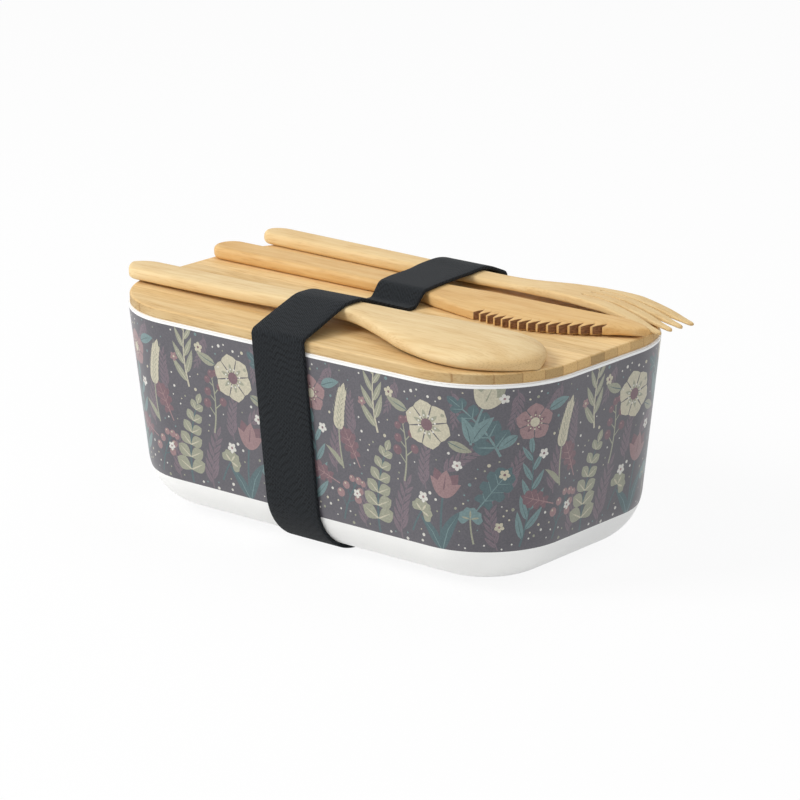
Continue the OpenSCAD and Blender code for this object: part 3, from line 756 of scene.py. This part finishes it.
def oak_leaf(ink, rib, length):
    """Leaf with round lobes and side veins."""
    out = []
    for y, w in ((0.10, 0.20), (0.30, 0.31), (0.52, 0.33), (0.72, 0.24)):
        for turn in (58, -58):
            lobe = leaf(ink, w * length, 0.21 * length, full=0.66)
            out += moved(lobe, 0, y * length, turn)
    out += leaf(ink, length, 0.36 * length, full=0.55)
    for y, w in ((0.18, 0.15), (0.38, 0.23), (0.58, 0.22)):
        for turn in (52, -52):
            out += moved(stem(rib, w * length, 0.3, 0.16), 0, y * length, turn)
    return out + moved(stem(rib, length * 1.1, 0.5, 0.2), 0, -0.2 * length)


# One repeat of the print. Faint twigs behind, as (x, y, turn, size)
TWIGS = (
    (17.5, 0.5, 2, 0.68), (29.5, 20.5, 8, 0.5), (55, 0.5, 22, 0.55), (75.5, 18.5, 6, 0.58),
    (36.5, 26.5, -38, 0.52), (58.5, 19.5, -2, 0.5), (19.5, 57, 172, 0.4), (60.5, 57, 186, 0.42),
    (40.5, 56.5, 196, 0.38), (76, 57, 160, 0.4), (0.5, 33, 18, 0.45), (86.5, 1, 8, 0.5))
# Main motifs, from the lowest to the highest, as (motif, x, y, turn, size), the last two if given
MOTIFS = (
    (willow(TEAL, DEEP, DEEP, 33, -0.013), 63, 1.5, -18),
    (gum_sprig(SAGE, CREAM, DEEP, 31, 0.016), 8, 0.5, 4),
    (tulip(ROSE, WINE, DEEP, TEAL, 29), 34.5, -1.5, 3),
    (wheat(CREAM, SAGE, SAGE, 30, 0.018), 78.5, 20.5, 10),
    (oak_leaf(DEEP, TEAL, 18), 48.5, 16, -38),
    (berry_twig(SAGE, WINE, ROSE, 22, -0.022), 20.5, 21.5, -16),
    (gum_sprig(DEEP, TEAL, TEAL, 22, -0.02, 5), 55.5, 34, 24),
    (blossom(CREAM, SAGE, WINE, WHITE, 8.6, 6, 12), 31.5, 43.5),
    (leaf(SAGE, 9, 3.6, 0.03, DEEP), 23.8, 47.0, 76),
    (leaf(SAGE, 8.5, 3.4, -0.03, DEEP), 38.6, 38.6, -118),
    (blossom(ROSE, WINE, CREAM, CREAM, 6.6, 5, 0), 66.5, 45.0),
    (leaf(TEAL, 8.5, 3.6, 0.04, DEEP), 71.4, 48.6, -62),
    (leaf(TEAL, 8, 3.3, -0.04, DEEP), 61.0, 41.0, 118),
    (willow(SAGE, CREAM, CREAM, 22, 0.02, 7), 10.5, 36.5, 12),
    (clover(SAGE, CREAM, DEEP, 4.6), 22.5, 4.5, -22),
    (clover(TEAL, SAGE, SAGE, 4.4), 46.5, 3.0, 14),
    (berry_twig(DEEP, ROSE, CREAM, 18, 0.024), 77.0, 2.0, -14, 0.95),
    (tulip(CREAM, SAGE, TEAL, DEEP, 21), 46.0, 38.0, -12, 0.92),
    (oak_leaf(WINE, ROSE, 12.5), 0.5, 24.5, 24),
    (oak_leaf(WINE, ROSE, 12), 74.0, 15.5, 70))
# Small flowers, as (x, y, radius, petals, heart)
STARS = (
    (28, 17.5, 2.1, WHITE, ROSE), (57, 27.5, 2.0, CREAM, WINE), (16.5, 52, 2.0, CREAM, WINE),
    (41.5, 30.5, 1.9, WHITE, ROSE), (70.5, 33.5, 1.9, WHITE, WINE), (4.5, 46.5, 1.8, ROSE, CREAM),
    (56.5, 54, 1.8, WHITE, ROSE), (55.5, 9.0, 1.9, CREAM, ROSE), (83.5, 12.5, 1.7, WHITE, ROSE))
DOT_COUNT, DOT_TRIES, DOT_GAP = 90, 4000, 2.0


def print_design():
    """Shapes of one repeat, from the lowest layer to the highest."""
    rnd = random.Random(11)
    s = []
    for spot in TWIGS:
        s += moved(willow(MAUVE, GROUND, MAUVE, 30, 0.016, 11), *spot)
    for motif, *spot in MOTIFS:
        s += moved(motif, *spot)
    for x, y, r, petal, heart in STARS:
        star = around(leaf(petal, r, r * 0.72, full=0.6), 5) + disc(heart, 0, 0, r * 0.24, 8)
        s += moved(star, x, y, rnd.uniform(0, 72))
    # Dots in the free ground
    taken = np.array([p for _, pts in s for p in pts])
    middles = np.array([np.mean(pts, axis=0) for _, pts in s])
    taken = np.vstack([taken, taken + (TILE, 0), taken - (TILE, 0), middles])
    spots = []
    for _ in range(DOT_TRIES):
        x, y = rnd.uniform(0, TILE), rnd.uniform(0.8, FILM_H - 0.8)
        r = rnd.choice((0.28, 0.36, 0.36, 0.5, 0.62))
        if np.min(np.hypot(taken[:, 0] - x, taken[:, 1] - y)) < r + 1.0:
            continue
        if any(hypot(min(abs(px - x), TILE - abs(px - x)), py - y) < DOT_GAP for px, py in spots):
            continue
        spots.append((x, y))
        s += disc(rnd.choice((WHITE, CREAM, SAGE, WHITE, TEAL)), x, y, r, 8)
        if len(spots) == DOT_COUNT:
            break
    return s


def print_film():
    """The printed wall as one thin sheet with a face for each patch of ink."""
    shapes = [(GROUND, [(0, 0), (TILE, 0), (TILE, FILM_H), (0, FILM_H)])]
    for ink, pts in print_design():
        for shift in (-TILE, 0.0, TILE):
            q = [(x + shift, y) for x, y in pts]
            (x0, y0), (x1, y1) = np.min(q, axis=0), np.max(q, axis=0)
            if x1 > 0 and x0 < TILE and y1 > 0 and y0 < FILM_H:
                shapes.append((ink, q))
    points = [p for _, pts in shapes for p in pts]
    starts = np.cumsum([0] + [len(pts) for _, pts in shapes])
    outlines = [list(range(a, b)) for a, b in zip(starts, starts[1:])]
    columns = [TILE * k / FILM_COLUMNS for k in range(1, FILM_COLUMNS)]
    lines = [p for u in columns for p in ((u, 0), (u, FILM_H))]
    lines += [p for v in FILM_ROWS for p in ((0, v), (TILE, v))]
    edges = [(len(points) + k, len(points) + k + 1) for k in range(0, len(lines), 2)]
    flat = [Vector(p) for p in points + lines]
    got = delaunay_2d_cdt(flat, edges, outlines, 1, 1e-4, True)
    patches = [(f, shapes[max(top)][0]) for f, top in zip(got[2], got[5]) if 0 in top]
    used = sorted({k for f, _ in patches for k in f})
    verts, normals, faces, colours, merged = [], [], [], [], {}
    for r in range(REPEATS):
        here = {}
        for k in used:
            place, normal = on_wall(got[0][k].x + r * TILE, got[0][k].y)
            key = tuple(round(c, 3) for c in place)
            if key not in merged:
                merged[key] = len(verts)
                verts.append(place)
                normals.append(normal)
            here[k] = merged[key]
        for f, ink in patches:
            q = [here[k] for k in f]
            if len(set(q)) == 3:
                faces.append(q)
                colours.append(ink)
    # Cut edges of the film, turned into the wall
    n = FILM_COLUMNS * REPEATS
    for v, up in ((0.0, -1.0), (FILM_H, 1.0)):
        first = len(verts)
        for k in range(n):
            place, normal = on_wall(TILE * k / FILM_COLUMNS, v)
            for depth in (0.0, FILM_T * 0.9):
                verts.append(tuple(a - depth * b for a, b in zip(place, normal)))
                normals.append((0, 0, up))
        for k in range(n):
            a, b = first + 2 * k, first + 2 * ((k + 1) % n)
            q = [a, b, b + 1, a + 1]
            faces.append(q if up > 0 else q[::-1])
            colours.append(GROUND)
    obj = mesh_object("print_film", verts, faces, [printed(*i) for i in INKS], colours)
    obj.data.normals_split_custom_set_from_vertices(normals)
    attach(obj, "tub")
    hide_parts("print_wrap")


# Cutlery, drawn along x

SPOON_TIP = SPOON_TAIL + SPOON_LEN
NECK_X = SPOON_TIP - BOWL_LEN
SPOON_END, BOWL_END = 1.1 * HAND, 0.3 * BOWL_LEN  # lengths of the round ends
SPOON_HALF = [(SPOON_TAIL, HAND)] + spread(NECK_X, BOWL_LEN, (
    (-0.8, HAND), (-0.18, HAND * 0.9), (0, HAND * 0.96), (0.22, BOWL_W * 0.29),
    (0.4, BOWL_W * 0.43), (0.6, BOWL_W / 2), (0.8, BOWL_W * 0.475), (1, BOWL_W * 0.4)))
SPOON_UNDER = [(SPOON_TAIL, TAIL_RISE)] + spread(NECK_X, BOWL_LEN, (
    (-0.72, TAIL_RISE + 0.35 * (NECK_RISE - TAIL_RISE)), (-0.16, NECK_RISE), (0.05, NECK_RISE),
    (0.3, NECK_RISE * 0.4), (0.5, NECK_RISE * 0.08), (0.62, 0), (1, 0)))


def end_share(x, start, stop, r0, r1, least=0.004):
    """Share of the full width at x between two round ends."""
    a, b = min((x - start) / r0, 1), min((stop - x) / r1, 1)
    return sqrt(max(1 - (1 - a) ** 2, least)) * sqrt(max(1 - (1 - b) ** 2, least))


def bowl_share(x):
    """0 on the spoon's handle, 1 on its bowl."""
    return step_up((x - NECK_X) / BOWL_LEN / 0.45 - 0.12)


def spoon_w(x):
    return curve(x, SPOON_HALF) * end_share(x, SPOON_TAIL, SPOON_TIP, SPOON_END, BOWL_END)


def spoon_low(x):
    return LAY_Z + curve(x, SPOON_UNDER)


def spoon_ridge(x):
    s = bowl_share(x)
    return SPOON_T * (1 - s) + (BOWL_RIM + BOWL_RISE) * s


def spoon():
    n = 30  # steps across
    handle = SPOON_TAIL + SPOON_END
    stations = [SPOON_TAIL + SPOON_END * (1 - cos(radians(k * 4.2 + 2))) for k in range(21)]
    stations += [handle + (NECK_X - handle) * k / 60 for k in range(1, 61)]
    stations += [NECK_X + (BOWL_LEN - BOWL_END) * k / 48 for k in range(1, 49)]
    stations += [SPOON_TIP - BOWL_END * (1 - sin(radians(3 * k))) for k in range(1, 30)]
    verts = []
    for x in stations:
        s, w, z = bowl_share(x), spoon_w(x), spoon_low(x)
        tip = end_share(x, SPOON_TAIL - SPOON_LEN, SPOON_TIP, 1, BOWL_END)
        edge = SPOON_T * 0.3 * (1 - s) + BOWL_RIM * s
        rise = (spoon_ridge(x) - edge) * (1 - s + s * tip)
        hollow = max(edge + rise - BOWL_T, 0) * s
        rim = min(0.8 * (1 - s) + BOWL_RIM * s, w * 0.6)
        flat, square = 0.32 + 0.58 * s, 0.6 + 0.4 * s
        arc = [(cos(pi * k / n), max(sin(pi * k / n), 0)) for k in range(n + 1)]
        verts += [(x, -w * copysign(abs(c) ** square, c), z + edge + rise * up ** flat)
                  for c, up in arc]
        verts.append((x, w - 0.3 * rim, z + 0.34 * edge))
        verts += [(x, (w - rim) * c, z + hollow * up) for c, up in arc]
        verts.append((x, 0.3 * rim - w, z + 0.34 * edge))
    faces = tube(0, len(stations), 2 * n + 4)
    wood = bamboo("spoon_bamboo", (229, 204, 156), (214, 180, 126), (176, 132, 80), 3.0,
                  cut=(0.1, 0.6), cut_from=SPOON_TIP - 40)
    verts = turned(verts, SPOON_TAIL, SPOON_Y, SPOON_TURN)
    obj = mesh_object("spoon_wood", verts, faces, [wood], angle=60)
    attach(obj, "spoon")
    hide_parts("spoon")


KNIFE_TIP = KNIFE_TAIL + KNIFE_LEN
BLADE_X = KNIFE_TIP - BLADE_LEN
TEETH_X = BLADE_X + TOOTH_START
TEETH_END = TEETH_X + TOOTH_COUNT * TOOTH_PITCH
KNIFE_EDGE = [(KNIFE_TAIL, -HAND)] + spread(BLADE_X, BLADE_LEN, [
    (a, -HAND + b * BELLY) for a, b in (
        (-0.23, 0), (0, 0), (0.12, -0.4), (0.33, -0.83), (0.49, -1.06), (0.61, -0.9), (0.7, -0.5),
        (0.8, 0.1), (0.9, 0.9), (0.96, 1.3), (1, 1.75))])
KNIFE_BACK = spread(BLADE_X, BLADE_LEN, [
    (a, HAND + b * BELLY) for a, b in ((0, 0), (0.5, 0.18), (0.8, 0.22), (0.94, 0.2), (1, 0.05))])


def knife_spine(x):
    return KNIFE_Y + (curve(x, KNIFE_BACK) if x > BLADE_X else HAND)


def knife_bow(x):
    """Lift of the blade's end off the lid."""
    return BLADE_LIFT * step_up((x - TEETH_X - 8) / (KNIFE_TIP - TEETH_X - 20))


def knife_top(x, y):
    """Height of the knife's upper side: the blade is ground down towards its teeth."""
    tip = clamp((x - TEETH_END) / (KNIFE_TIP - TEETH_END))
    thinned = 0.3 * step_up((x - TEETH_X) / (TEETH_END - TEETH_X)) + 0.7 * tip * tip
    high = LAY_Z + KNIFE_T - (KNIFE_T - KNIFE_TIP_T) * thinned
    ground = step_up((x - BLADE_X) / TOOTH_START / 0.7 - 0.43)
    lip = min(high, LAY_Z + KNIFE_T - (KNIFE_T - KNIFE_EDGE_T) * ground)
    plain = KNIFE_Y + curve(x, KNIFE_EDGE)
    away = clamp((y - plain) / max(0.45 * (knife_spine(x) - plain), 0.1))
    return high - (high - lip) * (1 - away) ** 1.3 + knife_bow(x)


def knife():
    # Outline as (x, y, slant): the slant sets the upper edge back in the cuts between the teeth
    def edge(x, up=0.0, slant=0.0):
        return np.array((x, curve(x, KNIFE_EDGE) + up, slant))

    handle = KNIFE_TAIL + HAND
    quarter = [pi / 2 * k / 16 for k in range(16)]
    ring, scorched = [(handle - HAND * cos(a), -HAND * sin(a), 0) for a in quarter[1:]], set()
    ring += [edge(x) for x in np.arange(handle, TEETH_X - 0.6, 1.5)]
    for i in range(TOOTH_COUNT):
        x = TEETH_X + i * TOOTH_PITCH
        land = edge(x + 0.2 * TOOTH_PITCH)
        root = edge(x + TOOTH_PITCH, TOOTH_DEPTH, TOOTH_SLANT) - (0.02 * TOOTH_PITCH, 0, 0)
        scorched |= {len(ring) + 1, len(ring) + 2, len(ring) + 3}
        ring += [edge(x)] + [land + t * (root - land) for t in (0, 0.33, 0.66, 1)]
    ring += [edge(TEETH_END + (KNIFE_TIP - TEETH_END) * sin(pi / 2 * k / 14)) for k in range(15)]
    ring += [(x, knife_spine(x) - KNIFE_Y, 0) for x in np.arange(KNIFE_TIP - 0.5, handle, -1.8)]
    ring += [(handle - HAND * sin(a), HAND * cos(a), 0) for a in quarter]
    ring = np.array(ring + [(KNIFE_TAIL, 0, 0)]) + (0, KNIFE_Y, 0)

    def ease(x, y):
        full = HANDLE_EASE - 1.05 * clamp((x - BLADE_X - 8) / 18)
        toothed = clamp((x - TEETH_X + 3) / 3) * clamp((TEETH_END + 2 - x) / 2)
        front = clamp((KNIFE_Y - y) / 3.0) * toothed
        tip = clamp((x - TEETH_END) / 4) * 0.45
        return full * (1 - front) + TOOTH_EASE * front + tip

    upper = np.column_stack([ring[:, 0], ring[:, 1] + ring[:, 2]])
    verts, faces, owner = slab(
        ring[:, :2], knife_top, lambda x, y: LAY_Z + knife_bow(x), ease, upper)
    wood = bamboo("knife_bamboo", (221, 184, 126), (208, 163, 100), (168, 116, 66), 8.0)
    pick = [int(o in scorched) for o in owner]
    mats = [wood, burnt("scorched_teeth")]
    obj = mesh_object("knife_wood", verts, faces, mats, pick, angle=42)
    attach(obj, "knife")
    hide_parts("knife")


FORK_TIP = FORK_TAIL + FORK_LEN
FORK_NECK = FORK_TIP - HEAD_LEN
FORK_HALF = [(FORK_TAIL, HAND * 0.88)] + spread(FORK_NECK, HEAD_LEN, (
    (-0.62, HAND * 0.86), (0, HAND * 0.8), (0.18, HAND * 0.9), (0.38, HEAD_W * 0.36),
    (0.56, HEAD_W * 0.46), (0.7, HEAD_W * 0.5), (0.9, HEAD_W * 0.48), (1, HEAD_W * 0.43)))
FORK_BACK = [(FORK_TAIL, FORK_T)] + spread(FORK_NECK, HEAD_LEN, [
    (a, FORK_T + b * HEAD_RISE) for a, b in (
        (-0.08, 0), (0, 0), (0.15, 0.17), (0.28, 0.52), (0.4, 0.88), (0.54, 1), (0.7, 0.7),
        (0.78, 0.06))] + [(0.87, 0.66 * FORK_T), (0.945, TIP_T), (1, TIP_T - TIP_DROP)])
FORK_THICK = [(FORK_TAIL, FORK_T)] + spread(FORK_NECK, HEAD_LEN, (
    (-0.55, FORK_T), (-0.4, FORK_T * 0.96), (-0.15, FORK_T * 0.7), (0.15, FORK_T * 0.6),
    (0.5, FORK_T * 0.7), (0.8, FORK_T * 0.5), (0.945, TIP_T), (1, TIP_T)))
FORK_ROLL = [(FORK_TAIL, 0)] + spread(FORK_NECK, HEAD_LEN, (
    (-0.08, 0), (0, 0), (0.53, HEAD_ROLL), (1, 0.45 * HEAD_ROLL)))


def fork():
    pitch = HEAD_W * 0.216
    root, point = FORK_TIP - TINE_LEN, FORK_TIP - 0.22 * TINE_LEN
    tine_r = 2.0  # length of a tine's round end
    x_end, x_side = FORK_TIP - tine_r, FORK_TIP - 2.2

    def half(x):
        return curve(x, FORK_HALF) * end_share(x, FORK_TAIL, FORK_TIP + FORK_LEN, HAND, 1)

    def cut(x, i, side):
        """Side of one of the three cuts between the tines, which open towards the end."""
        t = (x - root) / (point - root)
        wide = SLOT_W * (0.26 + 0.54 * t * t + 0.24 * clamp(1 - 10 * t) ** 2)
        if x >= point:
            wide = SLOT_W * 0.8
            wide += (pitch * 0.4 - wide) * (x - point) / (FORK_TIP + 1 - point)
        return i * pitch * (1 + 0.13 * clamp(t)) + side * wide

    def run(a, b, step):
        n = int(abs(b - a) / step)
        return [a + (b - a) * k / n for k in range(n + 1)]

    sides = [FORK_TAIL + HAND * (1 - cos(radians(6 * k + 4))) for k in range(14)]
    sides += run(FORK_TAIL + HAND + 0.6, x_side, 1.5)
    slot = run(x_side, root, 1.3)
    ring = [(x, -half(x)) for x in sides]
    for i in (-1, 0, 1, 2):
        y0 = -half(x_end) if i == -1 else cut(x_end, i - 1, 1)
        y1 = half(x_end) if i == 2 else cut(x_end, i, -1)
        ring += [(x_end + tine_r * cos(a), (y0 + y1) / 2 + (y1 - y0) / 2 * sin(a))
                 for a in np.linspace(-1.25, 1.25, 9)]
        if i < 2:
            ring += [(x, cut(x, i, -1)) for x in slot]
            ring += [(root - 0.5 * SLOT_W * sin(a), i * pitch - 0.5 * SLOT_W * cos(a))
                     for a in np.linspace(0.5, pi - 0.5, 5)]
            ring += [(x, cut(x, i, 1)) for x in slot[::-1]]
    ring += [(x, half(x)) for x in sides[::-1]]

    def top(x, y):
        crown = 0.3 * (y / max(half(x), 1.0)) ** 2
        return LAY_Z + curve(x, FORK_BACK) - crown - y * curve(x, FORK_ROLL)

    def under(x, y):
        return LAY_Z + curve(x, FORK_BACK) - curve(x, FORK_THICK) - y * curve(x, FORK_ROLL)

    def ease(x, y):
        if x > root - 2 and abs(y) < 0.8 * half(x):
            return 0.2 + 0.35 * clamp((x - root) / (point - root)) ** 2
        t = clamp((x - root + 6) / 12)
        full = HANDLE_EASE - 0.7 * clamp((x - FORK_NECK) / 25)
        return min(full * (1 - t) + 0.6 * t, 0.45 * curve(x, FORK_THICK))

    verts, faces, _ = slab(ring, top, under, ease)
    wood = bamboo("fork_bamboo", (229, 200, 148), (217, 181, 124), (178, 132, 80), 21.0)
    verts = turned(verts, FORK_TAIL, FORK_Y, FORK_TURN)
    obj = mesh_object("fork_wood", verts, faces, [wood], angle=50)
    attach(obj, "fork")
    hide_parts("fork")


# Strap

STRAP_MID = STRAP_GAP + STRAP_T / 2
STRAP_X0, STRAP_X1 = STRAP_X - STRAP_W / 2, STRAP_X + STRAP_W / 2
WALL_MID = SIDE_Y + CORNER_R + STRAP_MID / cos(DRAFT)
STRETCH_Z0, STRETCH_Z1 = 73.4, 77.5  # elastic beside the lid's edge
SPOON_MID = SPOON_Y + (STRAP_X - SPOON_TAIL) * sin(SPOON_TURN)


def strap_corners():
    """Corners of the elastic's middle line as (y, z, radius), from the front of its base run."""
    base_mid = BASE_Z - STRAP_MID
    foot = WALL_MID - (RIM_Z - base_mid) * tan(DRAFT)
    over = WALL_MID + (LID_Z - RIM_Z + STRAP_MID) * tan(DRAFT)
    beside = WALL_MID - (RIM_Z - STRETCH_Z0) * tan(DRAFT)
    run_half = foot - (BASE_R + STRAP_MID) * tan(pi / 4 - DRAFT / 2) - 2
    ends = (STRAP_X0, STRAP_X1)
    spoon_top = max(spoon_low(x) + spoon_ridge(x) for x in (*ends, STRAP_X))
    spoon_wide = max(spoon_w(x) for x in ends) + STRAP_W / 2 * abs(sin(SPOON_TURN))
    fork_mid = FORK_Y + (STRAP_X - FORK_TAIL) * sin(FORK_TURN)
    fork_wide = max(curve(x, FORK_HALF) for x in ends) + STRAP_W / 2 * abs(sin(FORK_TURN))
    front = KNIFE_Y + curve(STRAP_X1, KNIFE_EDGE)
    low, fork_top = LID_Z + STRAP_MID, LAY_Z + curve(STRAP_X1, FORK_BACK) + STRAP_MID
    crest = spoon_top + STRAP_MID + 0.15
    return [
        (-run_half, base_mid, 0), (-foot, base_mid, BASE_R + STRAP_MID),
        (-beside, STRETCH_Z0, 0), (-over, low, 2),
        (SPOON_MID - 0.62 * spoon_wide, crest, 14), (SPOON_MID + 0.62 * spoon_wide, crest, 14),
        (SPOON_MID + spoon_wide + SPOON_FALL, low, 5), (front - KNIFE_CLIMB, low, 3),
        (front - 1.5, LAY_Z + KNIFE_T + STRAP_MID + 0.1, 4),
        (fork_mid - 0.8 * fork_wide, fork_top + 0.1, 8),
        (fork_mid + 0.92 * fork_wide, fork_top + 0.35, 24),
        (over, low, 2), (beside, STRETCH_Z0, 0),
        (foot, base_mid, BASE_R + STRAP_MID), (run_half, base_mid, 0)]


def strap_path():
    """Closed middle line of the elastic, seen along x, as (y, z)."""
    corners = strap_corners()
    line = []
    for i, (y, z, r) in enumerate(corners):
        p = np.array((y, z))
        if r == 0:
            line.append(p)
            continue
        a, b = (np.array(corners[k][:2]) - p for k in (i - 1, i + 1))
        a, b = a / norm(a), b / norm(b)
        half = acos(clamp(float(a @ b), -1, 1)) / 2
        c = p + (a + b) / norm(a + b) * r / sin(half)
        start, stop = (p + d * r / tan(half) - c for d in (a, b))
        turn = atan2(start[0] * stop[1] - start[1] * stop[0], float(start @ stop))
        n = max(int(abs(degrees(turn)) / 3.5), 3)
        at = [atan2(start[1], start[0]) + turn * k / n for k in range(n + 1)]
        line += [c + r * np.array((cos(t), sin(t))) for t in at]
    dense = [line[0]]
    for p in line[1:] + [line[0]]:
        q = dense[-1]
        # Finer where it stretches
        fine = min(p[1], q[1]) > STRETCH_Z0 - 0.01 and abs(q[0]) > SIDE_Y + CORNER_R
        n = max(int(norm(p - q) / (0.35 if fine else 2.0)), 1)
        dense += [q + (p - q) * k / n for k in range(1, n + 1)]
    return np.array(dense[:-1])


def band_section(n=4):
    """Outline of the elastic's cut end, as (across, outward), with round edges."""
    r = 0.42 * STRAP_T
    x, y = STRAP_W / 2 - r, STRAP_T / 2 - r
    out = []
    for k, (a, b) in enumerate(((1, 1), (-1, 1), (-1, -1), (1, -1))):
        turns = [radians(90 * k + 90 * j / n) for j in range(n + 1)]
        out += [(a * x + r * cos(t), b * y + r * sin(t)) for t in turns]
        if k % 2 == 0:
            out += [(a * x * t, a * STRAP_T / 2) for t in (0.66, 0.33, 0, -0.33, -0.66)]
    return out


# Shift of the elastic's edges on the lid, as (y, x): it draws in between the spoon and the knife
STRAP_LEFT = [(-54, 0), (-28, 0), (-18, 0.9), (-4, 5.0), (5, 4.4), (12, 3.2), (22, 2.6), (32, 0.6),
              (42, 0.3), (54, 0)]
STRAP_RIGHT = [(-54, 0), (-26, 0), (-14, 0.5), (-3, 1.9), (6, 1.8), (12, 0.8), (20, 0), (32, -0.8),
               (42, -1.8), (54, -2.6)]


def strap_sides(y, z):
    """Left and right edge of the elastic where its middle line is at (y, z)."""
    if z < LID_Z or abs(y) > STRAP_LEFT[-1][0]:
        drawn = STRAP_RIGHT[-1][1] * clamp((z - 25) / 50) if y > 0 else 0
        return STRAP_X0, STRAP_X1 + drawn
    return STRAP_X0 + curve(y, STRAP_LEFT), STRAP_X1 + curve(y, STRAP_RIGHT)


def spoon_tilt(x, y, z):
    """Drop of the elastic towards the spoon's handle, which is lower than its neck."""
    near = 1 - abs(y - SPOON_MID) / 22 if z > LID_Z + 1 else 0
    return 0.022 * (STRAP_X1 - x) * step_up(near)


def strap():
    path = strap_path()
    section = band_section()
    m = len(section)
    wide = [0, *np.cumsum([dist(a, b) for a, b in zip(section, section[1:] + section[:1])])]
    run = [0, *np.cumsum(norm(np.roll(path, -1, axis=0) - path, axis=1))]
    verts = []
    for at, out in zip(path, sideways(path)):
        left, right = strap_sides(*at)
        for x, h in section:
            y, z = at + out * h
            x = left + (right - left) * (x / STRAP_W + 0.5)
            verts.append((x, y, z - spoon_tilt(x, y, z)))
    faces, uv = tube(0, len(path), m, loop=True), tube_uv(run, wide)
    # Sewn overlap on the back wall: a second layer with square ends
    seam_z = FILM_Z0 + SEAM_UP
    away = np.array((cos(DRAFT), -sin(DRAFT)))
    rise = np.array((sin(DRAFT), cos(DRAFT)))
    foot = np.array((WALL_MID - (RIM_Z - seam_z) * tan(DRAFT), seam_z)) + away * STRAP_T
    first, layers = len(verts), 14
    ups = [SEAM_LEN * i / layers for i in range(layers + 1)]
    for up in ups:
        thin, narrow = (0.75, 0.99) if up in (ups[0], ups[-1]) else (1.0, 1.0)
        for x, h in section:
            y, z = foot + rise * up + away * (h * thin - (1 - thin) * STRAP_T / 2)
            verts.append((STRAP_X + x * narrow, y, z))
    faces += [flipped(f) for f in tube(first, layers + 1, m)]
    end = [(h, x) for x, h in section]
    uv += [flipped(f) for f in tube_uv(ups, wide) + [end, end[::-1]]]
    uv = [corner for f in uv for corner in f]
    obj = mesh_object("strap_band", verts, faces, [elastic("woven_elastic")], uv=uv, angle=65)
    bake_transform(obj)
    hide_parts("strap", "strap_base_run")
    stitches(foot, rise, away)


def stitches(foot, rise, away):
    """Two rows of thread over the overlap, each stitch a small rounded tuck."""
    verts, faces = [], []
    sides, rings, inset = 8, 9, 3.0
    for row in (inset, SEAM_LEN - inset):
        base = foot + rise * row + away * STRAP_T / 2
        for i in range(STITCH_COUNT):
            x = STRAP_X + STRAP_W * ((i + 0.5) / STITCH_COUNT - 0.5) * 0.94
            faces += tube(len(verts), rings, sides)
            for k in range(rings):
                t = -1 + 2 * k / (rings - 1)
                r = STITCH_T / 2 * sqrt(max(1 - abs(t) ** 5, 0.03))
                sink = -0.18 * abs(t) ** 3
                for q in range(sides):
                    a = 2 * pi * q / sides
                    y, z = base + rise * r * cos(a) + away * (r * sin(a) + sink)
                    verts.append((x + t * STITCH_LEN / 2, y, z))
    obj = mesh_object("strap_thread", verts, faces, [twisted_thread("sewing_thread")])
    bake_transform(obj)
    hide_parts("strap_stitching")


def dress(node, mat):
    """Give a CAD node its material."""
    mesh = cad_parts[node].data
    mesh.materials.clear()
    mesh.materials.append(mat)


camera()
studio()
dress("tub", moulded("moulded_white", (246, 246, 244)))
dress("lid", bamboo("lid_bamboo", (233, 202, 149), (219, 181, 121), (172, 124, 72), 5.0,
                    strip=7.2, shift=0.14))
dress("seal_ring", silicone("clear_silicone"))
print_film()
spoon()
knife()
fork()
strap()
